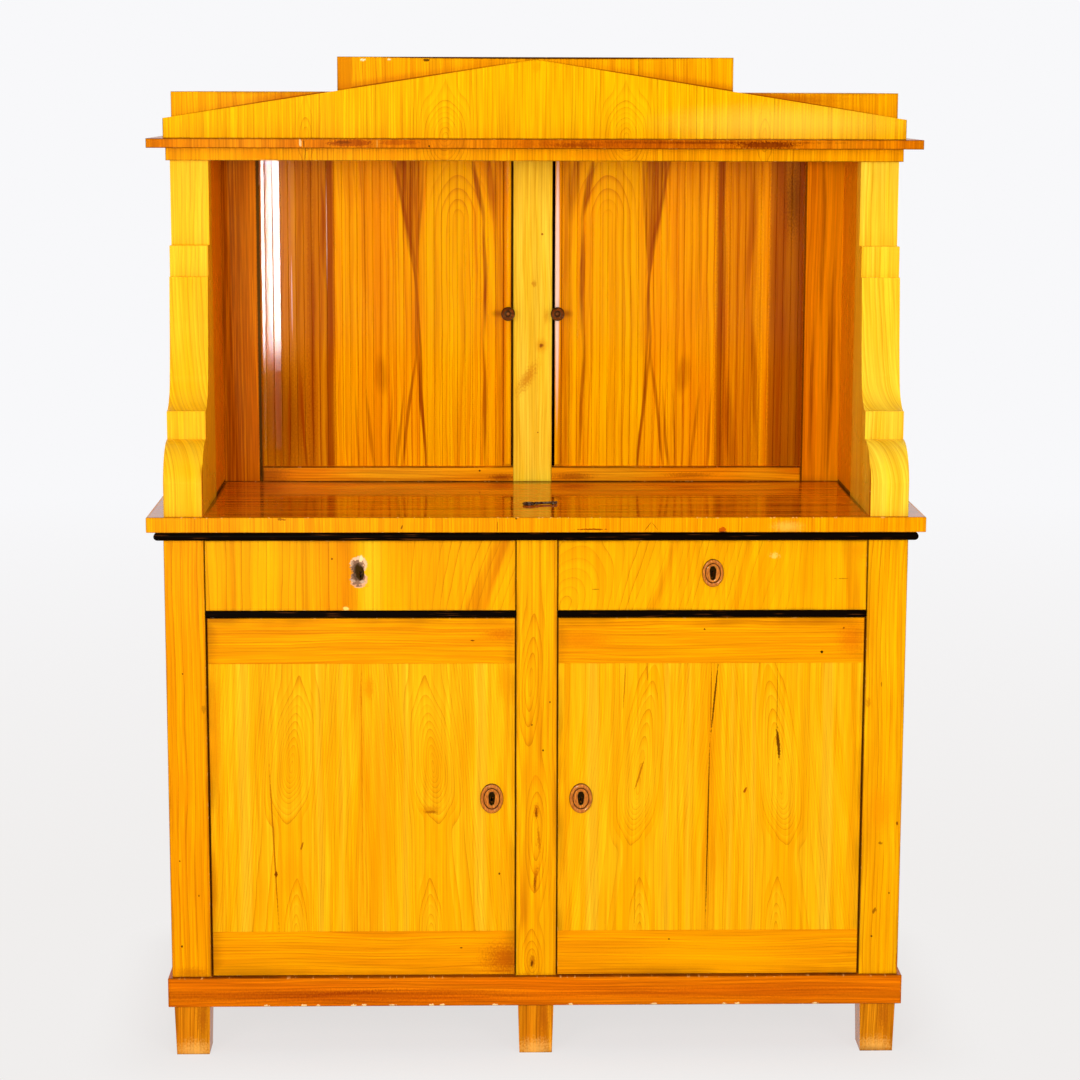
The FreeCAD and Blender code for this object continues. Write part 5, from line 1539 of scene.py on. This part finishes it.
    def make_knob(self) -> None:
        """Turn the knob: a slim neck, a swelling rim, a dished face and a small boss in its middle."""
        body = f"tambour_{self.side}"
        node = f"{body}_knob"
        low, high = corners(node)
        centre = np.array([(low[0] + high[0]) / 2, low[1], (low[2] + high[2]) / 2])
        radius, end_mm = (high[0] - low[0]) / 2, (high[1] - low[1]) / MM
        radii = np.array([*self.knob_face, *self.knob_neck])
        depths_mm = np.array([*self.knob_face_mm, *self.knob_neck_mm, end_mm, end_mm])
        points, quads = turned(np.stack([radii * radius, depths_mm * MM], -1), centre, self.knob_steps)
        shares = [*self.knob_face, *np.full(len(self.knob_neck), self.knob_rim)]
        reach, sharp = {"reach": np.repeat(shares, self.knob_steps)}, self.knob_sharp_deg
        name = f"{node}_turned"
        Piece(name, points, [quads], self.knob_finish, "dark_turning", body, (node,), reach, sharp).make()


@dataclass
class Hutch:
    """Scroll supports, niche walls, the frame round the roll doors and what lies behind them."""

    knots: tuple[Mark, ...] = (
        Mark(16, 1205, 32, 38, "#dc8c0c", 0.75, 0.95, 0.1),
        Mark(16, 1205, 10, 11, "#8c3e08", 0.95, 0.7),
        Mark(-10, 1145, 30, 92, "#cc780a", 0.75, 0.95, 0.4, 0.6),
        Mark(2, 1318, 14, 18, "#c87810", 0.7, 0.9, 0.3),
        Mark(17, 1408, 5, 6, "#a04c08", 0.9, 0.5),
        Mark(24, 1258, 12, 40, "#e09010", 0.6, 0.95, 0.2),
        Mark(10, 1045, 3, 3, "#a04c08", 0.9),
    )
    # Painted light: a bright band over the right niche wall, lit as if from the left.
    painted_wall_light: Streak = Streak(208, 1260, 240, 1, colour="#ffa800")
    # Painted shade: a dark line along the niche walls' foot, where they meet the worktop.
    wall_foot_shadow: Mark = Mark(0, 954, 900, 12, "#160600", 0.95, 0.5, 0.1)
    scroll_lining: tuple[Mark, ...] = (
        Mark(-565, 1260, 3, 9000, "#cc6800", 1, 0.3, 0),
        Mark(565, 1260, 3, 9000, "#cc6800", 1, 0.3, 0),
    )
    side_streaks: tuple[Streak, ...] = (
        Streak(588, 1260, 120, 0.8, colour="#fa9e00"),
        Streak(-588, 1260, 120, 0.8),
        Streak(548, 1150, 9, 0.7, 0.03, reach_mm=260),
        Streak(528, 1400, 6, 0.6, -0.02, reach_mm=200),
        Streak(514, 1120, 5, 0.6, 0.02, reach_mm=180),
    )
    # Painted shade: dark lines down the stiles' inner edges, in the gaps beside the roll doors.
    left_gap_shadow: Mark = Mark(-3, 1260, 8, 9000, "#140500", 0.95, 0.5, 0.1)
    right_gap_shadow: Mark = Mark(1.5, 1260, 4, 9000, "#2a0c00", 0.8, 0.5, 0.1)
    rail_stains: tuple[Mark, ...] = (
        Mark(-240, 970, 330, 50, "#ffb818", 0.6, 0.9, 0.2),
        Mark(150, 970, 240, 50, "#ffb818", 0.6, 0.9, 0.2),
        Mark(420, 970, 160, 50, "#ffb010", 0.5, 0.9, 0.2),
        Mark(-490, 966, 120, 50, "#9a4400", 0.7, 0.9, 0.2),
        Mark(-56, 962, 70, 18, "#983c00", 0.8, 0.9, 0.3),
        Mark(74, 963, 110, 18, "#a04400", 0.75, 0.9, 0.3),
        Mark(290, 966, 130, 14, "#b05400", 0.65, 0.9, 0.3),
        Mark(-97, 974, 5, 4, "#4a1800"),
    )

    def dress(self) -> None:
        """Dress the hutch's boards, bright in front and deeper inside the niche."""
        worn = Wear(10.0, 0.3, joint=0.3)
        for node, tone in (("scroll_left", WARM_HONEY), ("scroll_right", PALE_HONEY)):
            scroll = PolishedCherry(
                Lay.UPRIGHT_FRONT, tone, 7.0, marks=self.scroll_lining, wear=worn, fibre=0.4
            )
            dress(node, scroll)
        walls = PolishedCherry(
            Lay.UPRIGHT_SIDE,
            NICHE_WALL,
            7.0,
            streaks=(self.painted_wall_light,),
            marks=(self.wall_foot_shadow,),
            gloss=0.05,
        )
        dress("hutch_sides", walls)
        bay_left, bay_right = corners("hutch_bottom_rails")[:, 0] / MM
        stiles = PolishedCherry(
            Lay.UPRIGHT_FRONT,
            DEEP_ORANGE,
            6.0,
            streaks=self.side_streaks,
            marks=(self.left_gap_shadow.at(bay_left, 0.0), self.right_gap_shadow.at(bay_right, 0.0)),
            wear=Wear(16.0, 0.4, 2.0, 0.3, 2.4, 0.9),
            gloss=0.06,
            rib=0.4,
        )
        dress("hutch_side_stiles", stiles)
        worn = Wear(6.0, 0.3)
        stile = PolishedCherry(Lay.UPRIGHT_FRONT, PALE_HONEY, 5.0, marks=self.knots, wear=worn, fibre=0.45)
        dress("hutch_centre_stile", stile)
        rails = PolishedCherry(
            Lay.LEVEL_FRONT,
            NICHE_RAIL,
            5.0,
            stains=self.rail_stains,
            wear=Wear(6.0, 0.6, 2.0, 0.3, 2.4, 0.95),
            bands=0.6,
            blotch=0.6,
        )
        dress("hutch_bottom_rails", rails)
        for node in ("hutch_floor", "hutch_ceiling", "hutch_shelves"):
            dress(node, BareSoftwood(Lay.LEVEL_TOP))
        dress("hutch_lining", BareSoftwood(Lay.UPRIGHT_SIDE))


@dataclass
class Crown:
    """Frieze, cornice, pediment and the two steps of the attic, veneered across their length."""

    slope: float = 0.157
    eyes: tuple[Eye, ...] = (
        Eye(155, 1586, 8.5, 8, 0, 8, 0, 0),
        Eye(397, 1590, 12, 12, 0, 3, 5, 0),
    )
    stains: tuple[Mark, ...] = (
        Mark(-520, 1575, 230, 40, "#f4a010", 0.35, 0.8, 0.2),
        Mark(-130, 1575, 170, 40, "#f09c10", 0.3, 0.8, 0.3),
        Mark(530, 1575, 150, 40, "#f09810", 0.3, 0.8, 0.3),
        Mark(160, 1575, 560, 30, "#b84c00", 0.7, 0.8, 0.3),
        Mark(70, 1573, 120, 10, "#8a3000", 0.6, 0.7, 0.4),
        Mark(396, 1574, 130, 15, "#7a2600", 0.85, 0.5, 0.4),
        Mark(300, 1578, 560, 7, "#7a2a00", 0.7, 0.8, 0.4),
        Mark(-320, 1576, 84, 13, "#a03c00", 0.85, 0.25, 0.35),
        Mark(-330, 1577, 40, 6, "#6a2000", 0.7, 0.6, 0.5),
        Mark(-236, 1577, 76, 11, "#b85000", 0.75, 0.4, 0.4),
        Mark(-272, 1575, 2, 20, "#ffc060", 0.7),
        Mark(-403, 1576, 5, 16, "#ffe0b0", 0.8),
        Mark(-397, 1574, 3, 18, "#6a2400", 0.8),
        Mark(-183, 1571, 4, 4, "#2a0c00"),
    )
    seam: Mark = Mark(0, 1600, 1.3, 400, "#a86000", 0.75, ragged=0.05)
    seams_mm: tuple[float, ...] = (-386.0, -275.0, 277.0, 411.0)
    cracks: tuple[Mark, ...] = (
        Mark(-397, 1556, 1.8, 26, "#4a2000", 0.9, lean=0.06),
        Mark(0, 1706, 18, 28, "#dc9400", 0.6, 0.6),
        Mark(430, 1610, 560, 90, "#ffdc50", 0.35, 0.9, 0.1),
        Mark(-480, 1555, 90, 26, "#e88800", 0.55, 0.8, 0.3),
        Mark(-250, 1555, 100, 26, "#ec9000", 0.5, 0.8, 0.3),
        Mark(95, 1555, 120, 26, "#e48400", 0.5, 0.8, 0.3),
        Mark(330, 1555, 70, 26, "#ec9000", 0.5, 0.8, 0.3),
    )
    shadows: tuple[Mark, ...] = (
        Mark(320, 1668.5, 700, 30, "#b85a00", 0.55, 0.95, 0.1),
        Mark(320, 1668.5, 700, 4, "#8a3c00", 0.7, 0.6, 0.1),
    )
    upper_marks: tuple[Mark, ...] = (
        Mark(-329, 1700, 26, 160, "#cc7400", 0.75, 0.1, 0.02),
        Mark(10, 1722, 670, 8, "#2a0e00", 0.95, 0.3, 0.1),
        Mark(-189, 1716, 13, 6, "#3a1400", 0.9, ragged=0.6),
        Mark(-297, 1717, 10, 5, "#ffe0b0", 0.8, ragged=0.6),
        Mark(-253, 1717.5, 6, 4, "#ffe0b0", 0.8, ragged=0.6),
        Mark(178, 1700, 1.6, 120, "#8a4400", 0.75),
    )
    # Painted shade: the lower attic darkens along its foot above the pediment, more so on the right.
    lower_attic_shade: tuple[Mark, ...] = (
        Mark(-400, 1652, 200, 30, "#b85200", 0.35, 0.95, 0.2),
        Mark(430, 1652, 330, 34, "#b05000", 0.6, 0.95, 0.2),
    )

    def dress(self) -> None:
        """Run one book-matched figure over frieze and pediment, and plainer wood over the rest."""
        thin_joint = Wear(4.0, 0.3, 1.5, 0.3, 1.6, 0.75)
        veneer = PolishedCherry(
            Lay.UPRIGHT_FRONT,
            CROWN_HONEY,
            5.0,
            0.0,
            eyes=self.eyes,
            marks=(*(self.seam.at(x_mm, 0.0) for x_mm in self.seams_mm), *self.cracks),
            wear=thin_joint,
            gloss=0.08,
            bands=0.5,
            lines=0.95,
            fibre=0.45,
            rib=0.25,
            bend_mm=6.0,
        )
        dress("pediment", veneer)
        dress("frieze", replace(veneer, tone=FRIEZE_HONEY))
        cornice = PolishedCherry(
            Lay.UPRIGHT_FRONT,
            CORNICE_ORANGE,
            6.0,
            0.0,
            eyes=self.eyes,
            stains=self.stains,
            wear=thin_joint,
            gloss=0.08,
            rib=0.4,
            bands=0.6,
        )
        dress("cornice", cornice)
        shadows = tuple(
            replace(shadow, across_mm=side * shadow.across_mm, lean=side * self.slope)
            for side in (-1, 1)
            for shadow in self.shadows
        )
        worn = Wear(6.0, 0.5, 2.0, 0.4, 1.2, 0.6)
        for node, marks in (("attic_upper", self.upper_marks), ("attic_lower", self.lower_attic_shade)):
            attic = PolishedCherry(
                Lay.UPRIGHT_FRONT, ATTIC_HONEY, 5.0, marks=shadows + marks, wear=worn, gloss=0.08
            )
            dress(node, attic)


@dataclass
class LooseKey:
    """The iron key that lies on the worktop: ring bow, collared stem and notched bit.

    The stem's profile is given as lengths from the bow to past its collars, and as shares of its radius up to
    its end. The bit's outline is given as shares of its width and depth.
    """

    length_mm: float = 63.0
    stem_mm: float = 2.6
    bow_mm: float = 9.8
    wire_mm: float = 1.7
    turn_deg: float = 16.0
    bit_mm: tuple[float, float, float] = (8.0, 11.0, 2.6)
    tip_mm: float = 4.0
    chamfer_mm: float = 0.6
    turn_points: int = 40
    wire_points: int = 16
    collars_mm: tuple[float, ...] = (0, 0, 2.2, 2.6, 3, 4.4, 4.8, 5.2, 6.6, 7)
    swell: tuple[float, ...] = (0, 0.8, 0.8, 0.95, 1, 1, 0.86, 0.98, 0.98, 0.8, 0.8, 0.6, 0)
    bit_outline: tuple[tuple[float, float], ...] = (
        *((0, 0), (1, 0), (1, 1), (0.62, 1)),
        *((0.62, 0.62), (0.38, 0.62), (0.38, 1), (0, 1)),
    )
    finish: Finish = OldIron("#5e4e42", "#2e1a10")

    def build(self) -> None:
        """Sweep the bow and stem as round sections and the bit as a notched plate, then lay the key down.

        The bow is a ring whose section is a circle. The stem is a circle carried along the key, swelling at
        its collars. The bit is its side outline, given the plate's thickness.
        """
        turn = np.linspace(0.0, 2 * np.pi, self.turn_points, endpoint=False)
        sweep = np.linspace(0.0, 2 * np.pi, self.wire_points, endpoint=False)[:, None]
        end = self.length_mm / 2
        bow_x = -end + self.bow_mm + self.wire_mm
        ring = self.bow_mm + self.wire_mm * np.cos(sweep)
        rows = (ring * np.cos(turn) + bow_x, ring * np.sin(turn), self.wire_mm * np.sin(sweep))
        bow = np.stack(np.broadcast_arrays(*rows), -1).reshape(-1, 3)
        bow_quads = grid_quads(self.wire_points + 1, self.turn_points, wrap_columns=True) % len(bow)
        stem_x = bow_x + self.bow_mm
        tail = end - stem_x
        along = np.array([*self.collars_mm, tail - self.chamfer_mm, tail, tail])[:, None]
        radius = np.array(self.swell)[:, None] * self.stem_mm
        rows = (stem_x + along, radius * np.cos(turn), radius * np.sin(turn))
        stem = np.stack(np.broadcast_arrays(*rows), -1).reshape(-1, 3)
        stem_quads = grid_quads(len(along), self.turn_points, wrap_columns=True)
        width, depth, thick = self.bit_mm
        outline = np.array(self.bit_outline) * (width, -depth) + (end - self.tip_mm - width, 0.0)
        bit = prism(outline, -thick / 2, thick / 2)
        local, faces = joined((bow, [bow_quads]), (stem, [stem_quads]), bit)
        lean = math.radians(self.turn_deg)
        cosine, sine = math.cos(lean), math.sin(lean)
        points = local @ np.array([[cosine, sine, 0], [-sine, cosine, 0], [0, 0, 1]]) * MM
        points += corners("key").mean(0) - (points.min(0) + points.max(0)) / 2
        Piece("key_forged", points, faces, self.finish, "iron", "key", ("key",)).make()


@dataclass
class Softbox:
    """A soft rectangular lamp that looks at a point."""

    name: str
    place: tuple[float, float, float]
    aim: tuple[float, float, float]
    size: tuple[float, float]
    watts: float
    shape: str = "RECTANGLE"
    lights_matt: bool = True
    mirrored: bool = True

    def hang(self) -> None:
        """Add the lamp, turned so that it faces its aim."""
        lamp = bpy.data.lights.new(self.name, "AREA")
        lamp.shape = self.shape
        lamp.size, lamp.size_y = self.size
        lamp.energy = self.watts
        holder = stand(self.name, lamp)
        holder.visible_diffuse, holder.visible_glossy = self.lights_matt, self.mirrored
        holder.matrix_world = looking(np.array(self.place), np.array(self.aim) - np.array(self.place))


def looking(place: np.ndarray, forward: np.ndarray, roll: float = 0.0) -> Matrix:
    """Matrix of a lamp or camera that looks forward from a place.

    Args:
        place: Where it stands.
        forward: The way it looks.
        roll: How far it leans, in radians, with its right side up.

    Returns:
        A matrix whose local -Z is forward and whose local X is to the right.
    """
    ahead = forward / np.linalg.norm(forward)
    right = np.cross(ahead, [0.0, 0.0, 1.0])
    right /= np.linalg.norm(right)
    up = np.cross(right, ahead)
    level = np.eye(4)
    level[:3, 0] = right * math.cos(roll) + up * math.sin(roll)
    level[:3, 1] = up * math.cos(roll) - right * math.sin(roll)
    level[:3, 2] = -ahead
    level[:3, 3] = place
    return Matrix(level.tolist())


@dataclass
class Studio:
    """Pale floor, soft lamps and a camera that stands where the photograph was taken."""

    camera_place: tuple[float, float, float] = (-0.1011, -4.825, 1.6713)
    yaw_deg: float = 1.346
    pitch_deg: float = 9.534
    roll_deg: float = 0.162
    focal_pixels: float = 2697.5
    floor_rings: tuple[float, ...] = (0.0, 1.0, 2.0, 4.0, 8.0, 16.0, 40.0)
    floor_steps: int = 64
    floor_colour: str = "#f0eeed"
    backdrop_colour: str = "#f8f8fa"
    backdrop_reach: tuple[float, float] = (0.5, 6.0)
    ambient: float = 0.4
    footprint: tuple[float, float] = (0.6, 0.29)
    shadow_reach: float = 0.22
    shadow_melt: float = 0.8
    lamps: tuple[Softbox, ...] = (
        Softbox("key_left", (-2.1, -4.4, 2.3), (0.0, 0.0, 1.0), (1.4, 1.8), 58.0),
        Softbox("fill_right", (2.3, -4.3, 2.2), (0.0, 0.0, 1.0), (1.4, 1.8), 46.0),
        Softbox("front", (0.0, -5.4, 1.7), (0.0, 0.0, 1.2), (1.6, 1.0), 94.0, mirrored=False),
        Softbox("overhead", (0.0, -1.6, 4.2), (0.0, -0.2, 0.9), (2.6, 1.6), 20.0),
        Softbox("window", (-0.83, -4.5, 1.1), (-0.4, 0.1, 1.2), (0.08, 1.5), 90.0, "ELLIPSE", False),
    )

    def build(self) -> None:
        """Set up the floor, the world, the lamps and the camera."""
        bpy.context.scene.view_settings.view_transform = "Standard"
        self.lay_floor()
        self.light_world()
        for lamp in self.lamps:
            lamp.hang()
        self.place_camera()

    def seen(self, recipe: Recipe) -> Socket:
        """One for rays that show what they meet: from the camera, a gloss or through glass."""
        camera, gloss, glass = (
            recipe.add("LightPath", {}, out=f"Is {ray} Ray") for ray in ("Camera", "Glossy", "Transmission")
        )
        shiny = recipe.add("Math.MAXIMUM", [gloss, glass])
        return recipe.add("Math.MAXIMUM", [camera, shiny])

    def lay_floor(self) -> None:
        """Make a round floor, on polar coordinates round the object's foot."""
        radius = np.array(self.floor_rings)[:, None]
        turn = np.linspace(0.0, 2 * np.pi, self.floor_steps, endpoint=False)
        rows = (radius * np.cos(turn), radius * np.sin(turn), np.zeros_like(radius))
        points = np.stack(np.broadcast_arrays(*rows), -1).reshape(-1, 3)
        quads = grid_quads(len(radius), self.floor_steps, wrap_columns=True)
        mesh = bpy.data.meshes.new("floor")
        mesh.from_pydata(points.tolist(), [], quads.tolist())
        mesh.materials.append(self.floor_material())
        stand("floor", mesh)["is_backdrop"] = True

    def floor_material(self) -> bpy.types.Material:
        """Matt paint that shows the shadow near the object's foot and melts into the backdrop further off."""
        material = bpy.data.materials.new("pale_matt_floor")
        material.use_nodes = True
        recipe = Recipe(material.node_tree)
        add = recipe.add
        magnitude = add("VectorMath.ABSOLUTE", [add("TexCoord", {}, out="Object")])
        beyond = add("VectorMath.SUBTRACT", [magnitude, (*self.footprint, 0.0)])
        outside = add("VectorMath.MAXIMUM", [beyond, (0.0, 0.0, 0.0)])
        distance = add("VectorMath.LENGTH", [outside], out="Value")
        away = add("MapRange", [distance, 0.0, self.shadow_reach, self.shadow_melt, 1.0], **SMOOTH)
        shown = add("Math.MULTIPLY", [away, self.seen(recipe)])
        distant = add("MapRange", [distance, *self.backdrop_reach])
        ends = {0: distant, 6: linear(self.floor_colour), 7: linear(self.backdrop_colour)}
        matt = add("BsdfDiffuse", {"Color": linear(self.floor_colour)})
        glow = add("Emission", {"Color": add("Mix", ends, **COLOURS), "Strength": 1.0})
        add("OutputMaterial", {"Surface": add("MixShader", [shown, matt, glow])})
        return material

    def light_world(self) -> None:
        """Pale surroundings where they are seen, and a plain ambient level of light elsewhere."""
        world = bpy.data.worlds.new("studio")
        bpy.context.scene.world = world
        world.use_nodes = True
        recipe = Recipe(world.node_tree)
        level = recipe.add("MapRange", [self.seen(recipe), 0.0, 1.0, self.ambient, 1.0])
        backdrop = recipe.add("Background", {"Color": linear(self.backdrop_colour), "Strength": level})
        recipe.add("OutputWorld", {"Surface": backdrop})

    def place_camera(self) -> None:
        """Stand the camera at the photograph's place and angle, with its focal length on a square frame."""
        yaw, pitch = math.radians(self.yaw_deg), math.radians(self.pitch_deg)
        forward = [math.sin(yaw) * math.cos(pitch), math.cos(yaw) * math.cos(pitch), -math.sin(pitch)]
        lens = bpy.data.cameras.new("photograph")
        lens.sensor_fit = "HORIZONTAL"
        lens.lens = self.focal_pixels / IMAGE_PIXELS * lens.sensor_width
        camera = stand("photograph", lens)
        place, ahead = np.array(self.camera_place), np.array(forward)
        camera.matrix_world = looking(place, ahead, math.radians(self.roll_deg))
        bpy.context.scene.camera = camera


LEFT_DOOR = Door(
    "left",
    (Eye(121, 514, 14, 9, -0.1, 10.4), Eye(119, 206, 16, 16, -0.02, 6.4, 4)),
    (
        Mark(-270, 440, 56, 620, "#ec8c00", 0.5, 0.95, 0.15),
        Mark(-556, 560, 44, 420, "#dc7c00", 0.6, 0.95, 0.2),
        Mark(-560, 300, 26, 200, "#dc7c00", 0.5, 0.95, 0.2),
        Mark(-52, 670, 46, 120, "#dc8400", 0.55, 0.95, 0.2),
        Mark(-420, 330, 60, 110, "#ec9400", 0.45, 0.95, 0.3),
        Mark(-453, 372, 3.2, 330, "#a85800", 0.85, ragged=0.2, lean=-0.045),
        Mark(-450, 326, 7, 11, "#7a3200"),
        Mark(-405, 376, 4, 18, "#9a4a00", 0.85, lean=0.3),
        Mark(-182, 440, 50, 22, "#c87000", 0.6, 0.9),
        Mark(-182, 436, 32, 8, "#a05400", 0.8, 0.8),
        Mark(-301, 640, 5, 110, "#c46a00", 0.7, 0.8),
        Mark(-301, 460, 2.4, 480, "#d07c00", 0.8, 0.6, 0.1),
        Mark(-287, 655, 26, 60, "#d87e00", 0.6, 0.9),
        Mark(-64, 325, 4, 5, "#5a2000"),
    ),
    rail_marks=(
        Mark(-50, 172, 120, 90, "#a83c00", 0.75, 0.95, 0.3),
        Mark(-60, 748, 90, 26, "#c85a00", 0.6, 0.95, 0.4),
        Mark(-110, 738, 8, 3, "#6a2c00"),
        Mark(-130, 192, 5, 3, "#6a2c00"),
    ),
)
RIGHT_DOOR = Door(
    "right",
    (Eye(124, 474, 24, 9, -0.13, 10.4), Eye(121, 206, 16, 16, 0, 6.4, 4)),
    (
        Mark(297, 400, 3, 370, "#4a2000", 0.95, 0.4, 0.15, 0.01),
        Mark(306, 636, 3.6, 150, "#5a2800", 0.95, 0.4, 0.3, 0.09),
        Mark(300, 640, 2.4, 120, "#8a4400", 0.8, 0.5, 0.2),
        Mark(417, 556, 7, 66, "#5a2600", 0.95, 0.4, 0.3, -0.1),
        Mark(414, 630, 2, 140, "#9a5000", 0.8, 0.5, 0.2),
        Mark(361, 473, 14, 5, "#a04000", 0.95, lean=-2),
        Mark(178, 502, 4, 64, "#b06000", 0.85, lean=0.3),
        Mark(151, 660, 3, 90, "#b06000", 0.7, lean=0.05),
        Mark(190, 680, 3, 40, "#b06000", 0.7, lean=-0.05),
        Mark(172, 280, 2, 130, "#b06400", 0.7, 0.6),
    ),
    rail_marks=(
        Mark(489, 717, 6, 6, "#2a1000"),
        Mark(526, 759, 4, 4, "#6a2c00"),
        Mark(287, 757, 4, 4, "#6a2c00"),
        Mark(232, 206, 4, 4, "#5a2000"),
        Mark(540, 740, 70, 80, "#d06000", 0.6, 0.95, 0.3),
        Mark(300, 172, 460, 110, "#ffb000", 0.45, 0.9, 0.1),
        Mark(80, 738, 130, 40, "#d87000", 0.55, 0.95, 0.4),
    ),
)
LEFT_DRAWER = Drawer(
    "left",
    PolishedCherry(
        Lay.UPRIGHT_FRONT,
        DRAWER_HONEY,
        14.0,
        fan=Fan(-300.0, -40.0, 0.34),
        stains=(
            Mark(-345, 850, 78, 900, "#f49400", 0.7, 0.5, 0.02),
            Mark(-425, 850, 60, 900, "#f8a000", 0.5, 0.7, 0.05),
            Mark(-500, 850, 110, 900, "#f09600", 0.35, 0.8, 0.1),
            Mark(-180, 850, 170, 900, "#f09600", 0.3, 0.8, 0.1),
            Mark(-282, 850, 48, 900, "#ffcc20", 0.55, 0.7, 0.02),
            Mark(-72, 850, 16, 900, "#e88600", 0.7, 0.8, 0.05, 0.3),
        ),
        streaks=(
            Streak(-322, 850, 18, 0.42),
            Streak(-392, 850, 14, 0.4),
            Streak(-372, 850, 7, 0.3),
            Streak(-520, 850, 7, 0.3),
            Streak(-84, 850, 22, 0.5, 0.4),
            Streak(-285, 850, 26, 0.6, colour="#ffc800"),
            Streak(-470, 850, 30, 0.45, colour="#ffc800"),
        ),
        marks=(
            Mark(-306, 850, 1.6, 160, "#b86000", 0.8, 0.6, 0.1),
            Mark(-303, 870, 31, 30, "#f0bc90", 1, 0.1, 0.15),
            Mark(-303, 844, 31, 30, "#e8ac80", 1, 0.1, 0.15),
            Mark(-305, 866, 26, 28, "#84604c", 1, 0.2, 0.3),
            Mark(-305, 846, 27, 28, "#8a6650", 1, 0.2, 0.3),
            Mark(-305, 862, 19, 26, "#3a2a24", 0.95, 0.5, 0.4),
            Mark(-306, 850, 16, 22, "#46342a", 0.9, 0.5, 0.5),
            # Painted shade: the black inside the old keyhole in the scar.
            Mark(-305, 859, 9, 27, "#040201", 1, 0.2, 0.2),
            Mark(-313, 842, 9, 6, "#c0a086", 0.85, 0.3, 0.6),
            Mark(-297, 840, 8, 7, "#c8a88c", 0.85, 0.3, 0.6),
            Mark(-314, 872, 5, 9, "#b89478", 0.8, 0.3, 0.6),
            Mark(-299, 880, 7, 14, "#ffdca4", 0.9, 0.3, 0.4, 0.2),
            Mark(-348, 880, 4, 5, "#8a4a00"),
            Mark(-325, 794, 12, 8, "#ffdc70", 0.8),
        ),
        wear=Wear(6.0, 0.4),
        lines=0.95,
        fibre=0.24,
        rib=0.2,
        thin=9.0,
        early=0.2,
    ),
)
RIGHT_DRAWER = Drawer(
    "right",
    PolishedCherry(
        Lay.UPRIGHT_FRONT,
        DRAWER_HONEY,
        11.0,
        fan=Fan(500.0, 380.0, 0.28),
        eyes=(Eye(62, 800, 16, 16, 0, 7, 0, 0),),
        streaks=(
            Streak(215, 850, 11, 0.35, 0.3),
            Streak(352, 850, 9, 0.25, 0.2),
            Streak(535, 880, 16, 0.4, -0.1),
        ),
        marks=(
            Mark(545, 893, 56, 60, "#e08400", 0.5, 0.95, 0.3),
            Mark(405, 885, 20, 13, "#ffd468", 0.5, 0.8, 0.8),
            Mark(100, 827, 14, 2, "#8a4a00", 0.8),
            Mark(520, 845, 26, 2.4, "#a86000", 0.7, ragged=0.6),
        ),
        wear=Wear(6.0, 0.4),
        lines=0.95,
        fibre=0.24,
        rib=0.2,
        thin=8.0,
        early=0.25,
    ),
)


def main() -> None:
    """Build and dress the sub-assemblies in order, then the studio."""
    logging.basicConfig(level=logging.INFO, format="%(name)s: %(message)s")
    LowerCase().dress()
    for door in (LEFT_DOOR, RIGHT_DOOR):
        door.dress()
    for drawer in (LEFT_DRAWER, RIGHT_DRAWER):
        drawer.dress()
    Worktop().dress()
    Hutch().dress()
    Tambour("left", -1).build()
    Tambour("right", 1).build()
    Crown().dress()
    LooseKey().build()
    Studio().build()
    boxes = {"cad": CAD_BOX, "visual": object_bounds()}
    {name: [list(corner) for corner in box] for name, box in boxes.items()}


if __name__ == "__main__":
    main()
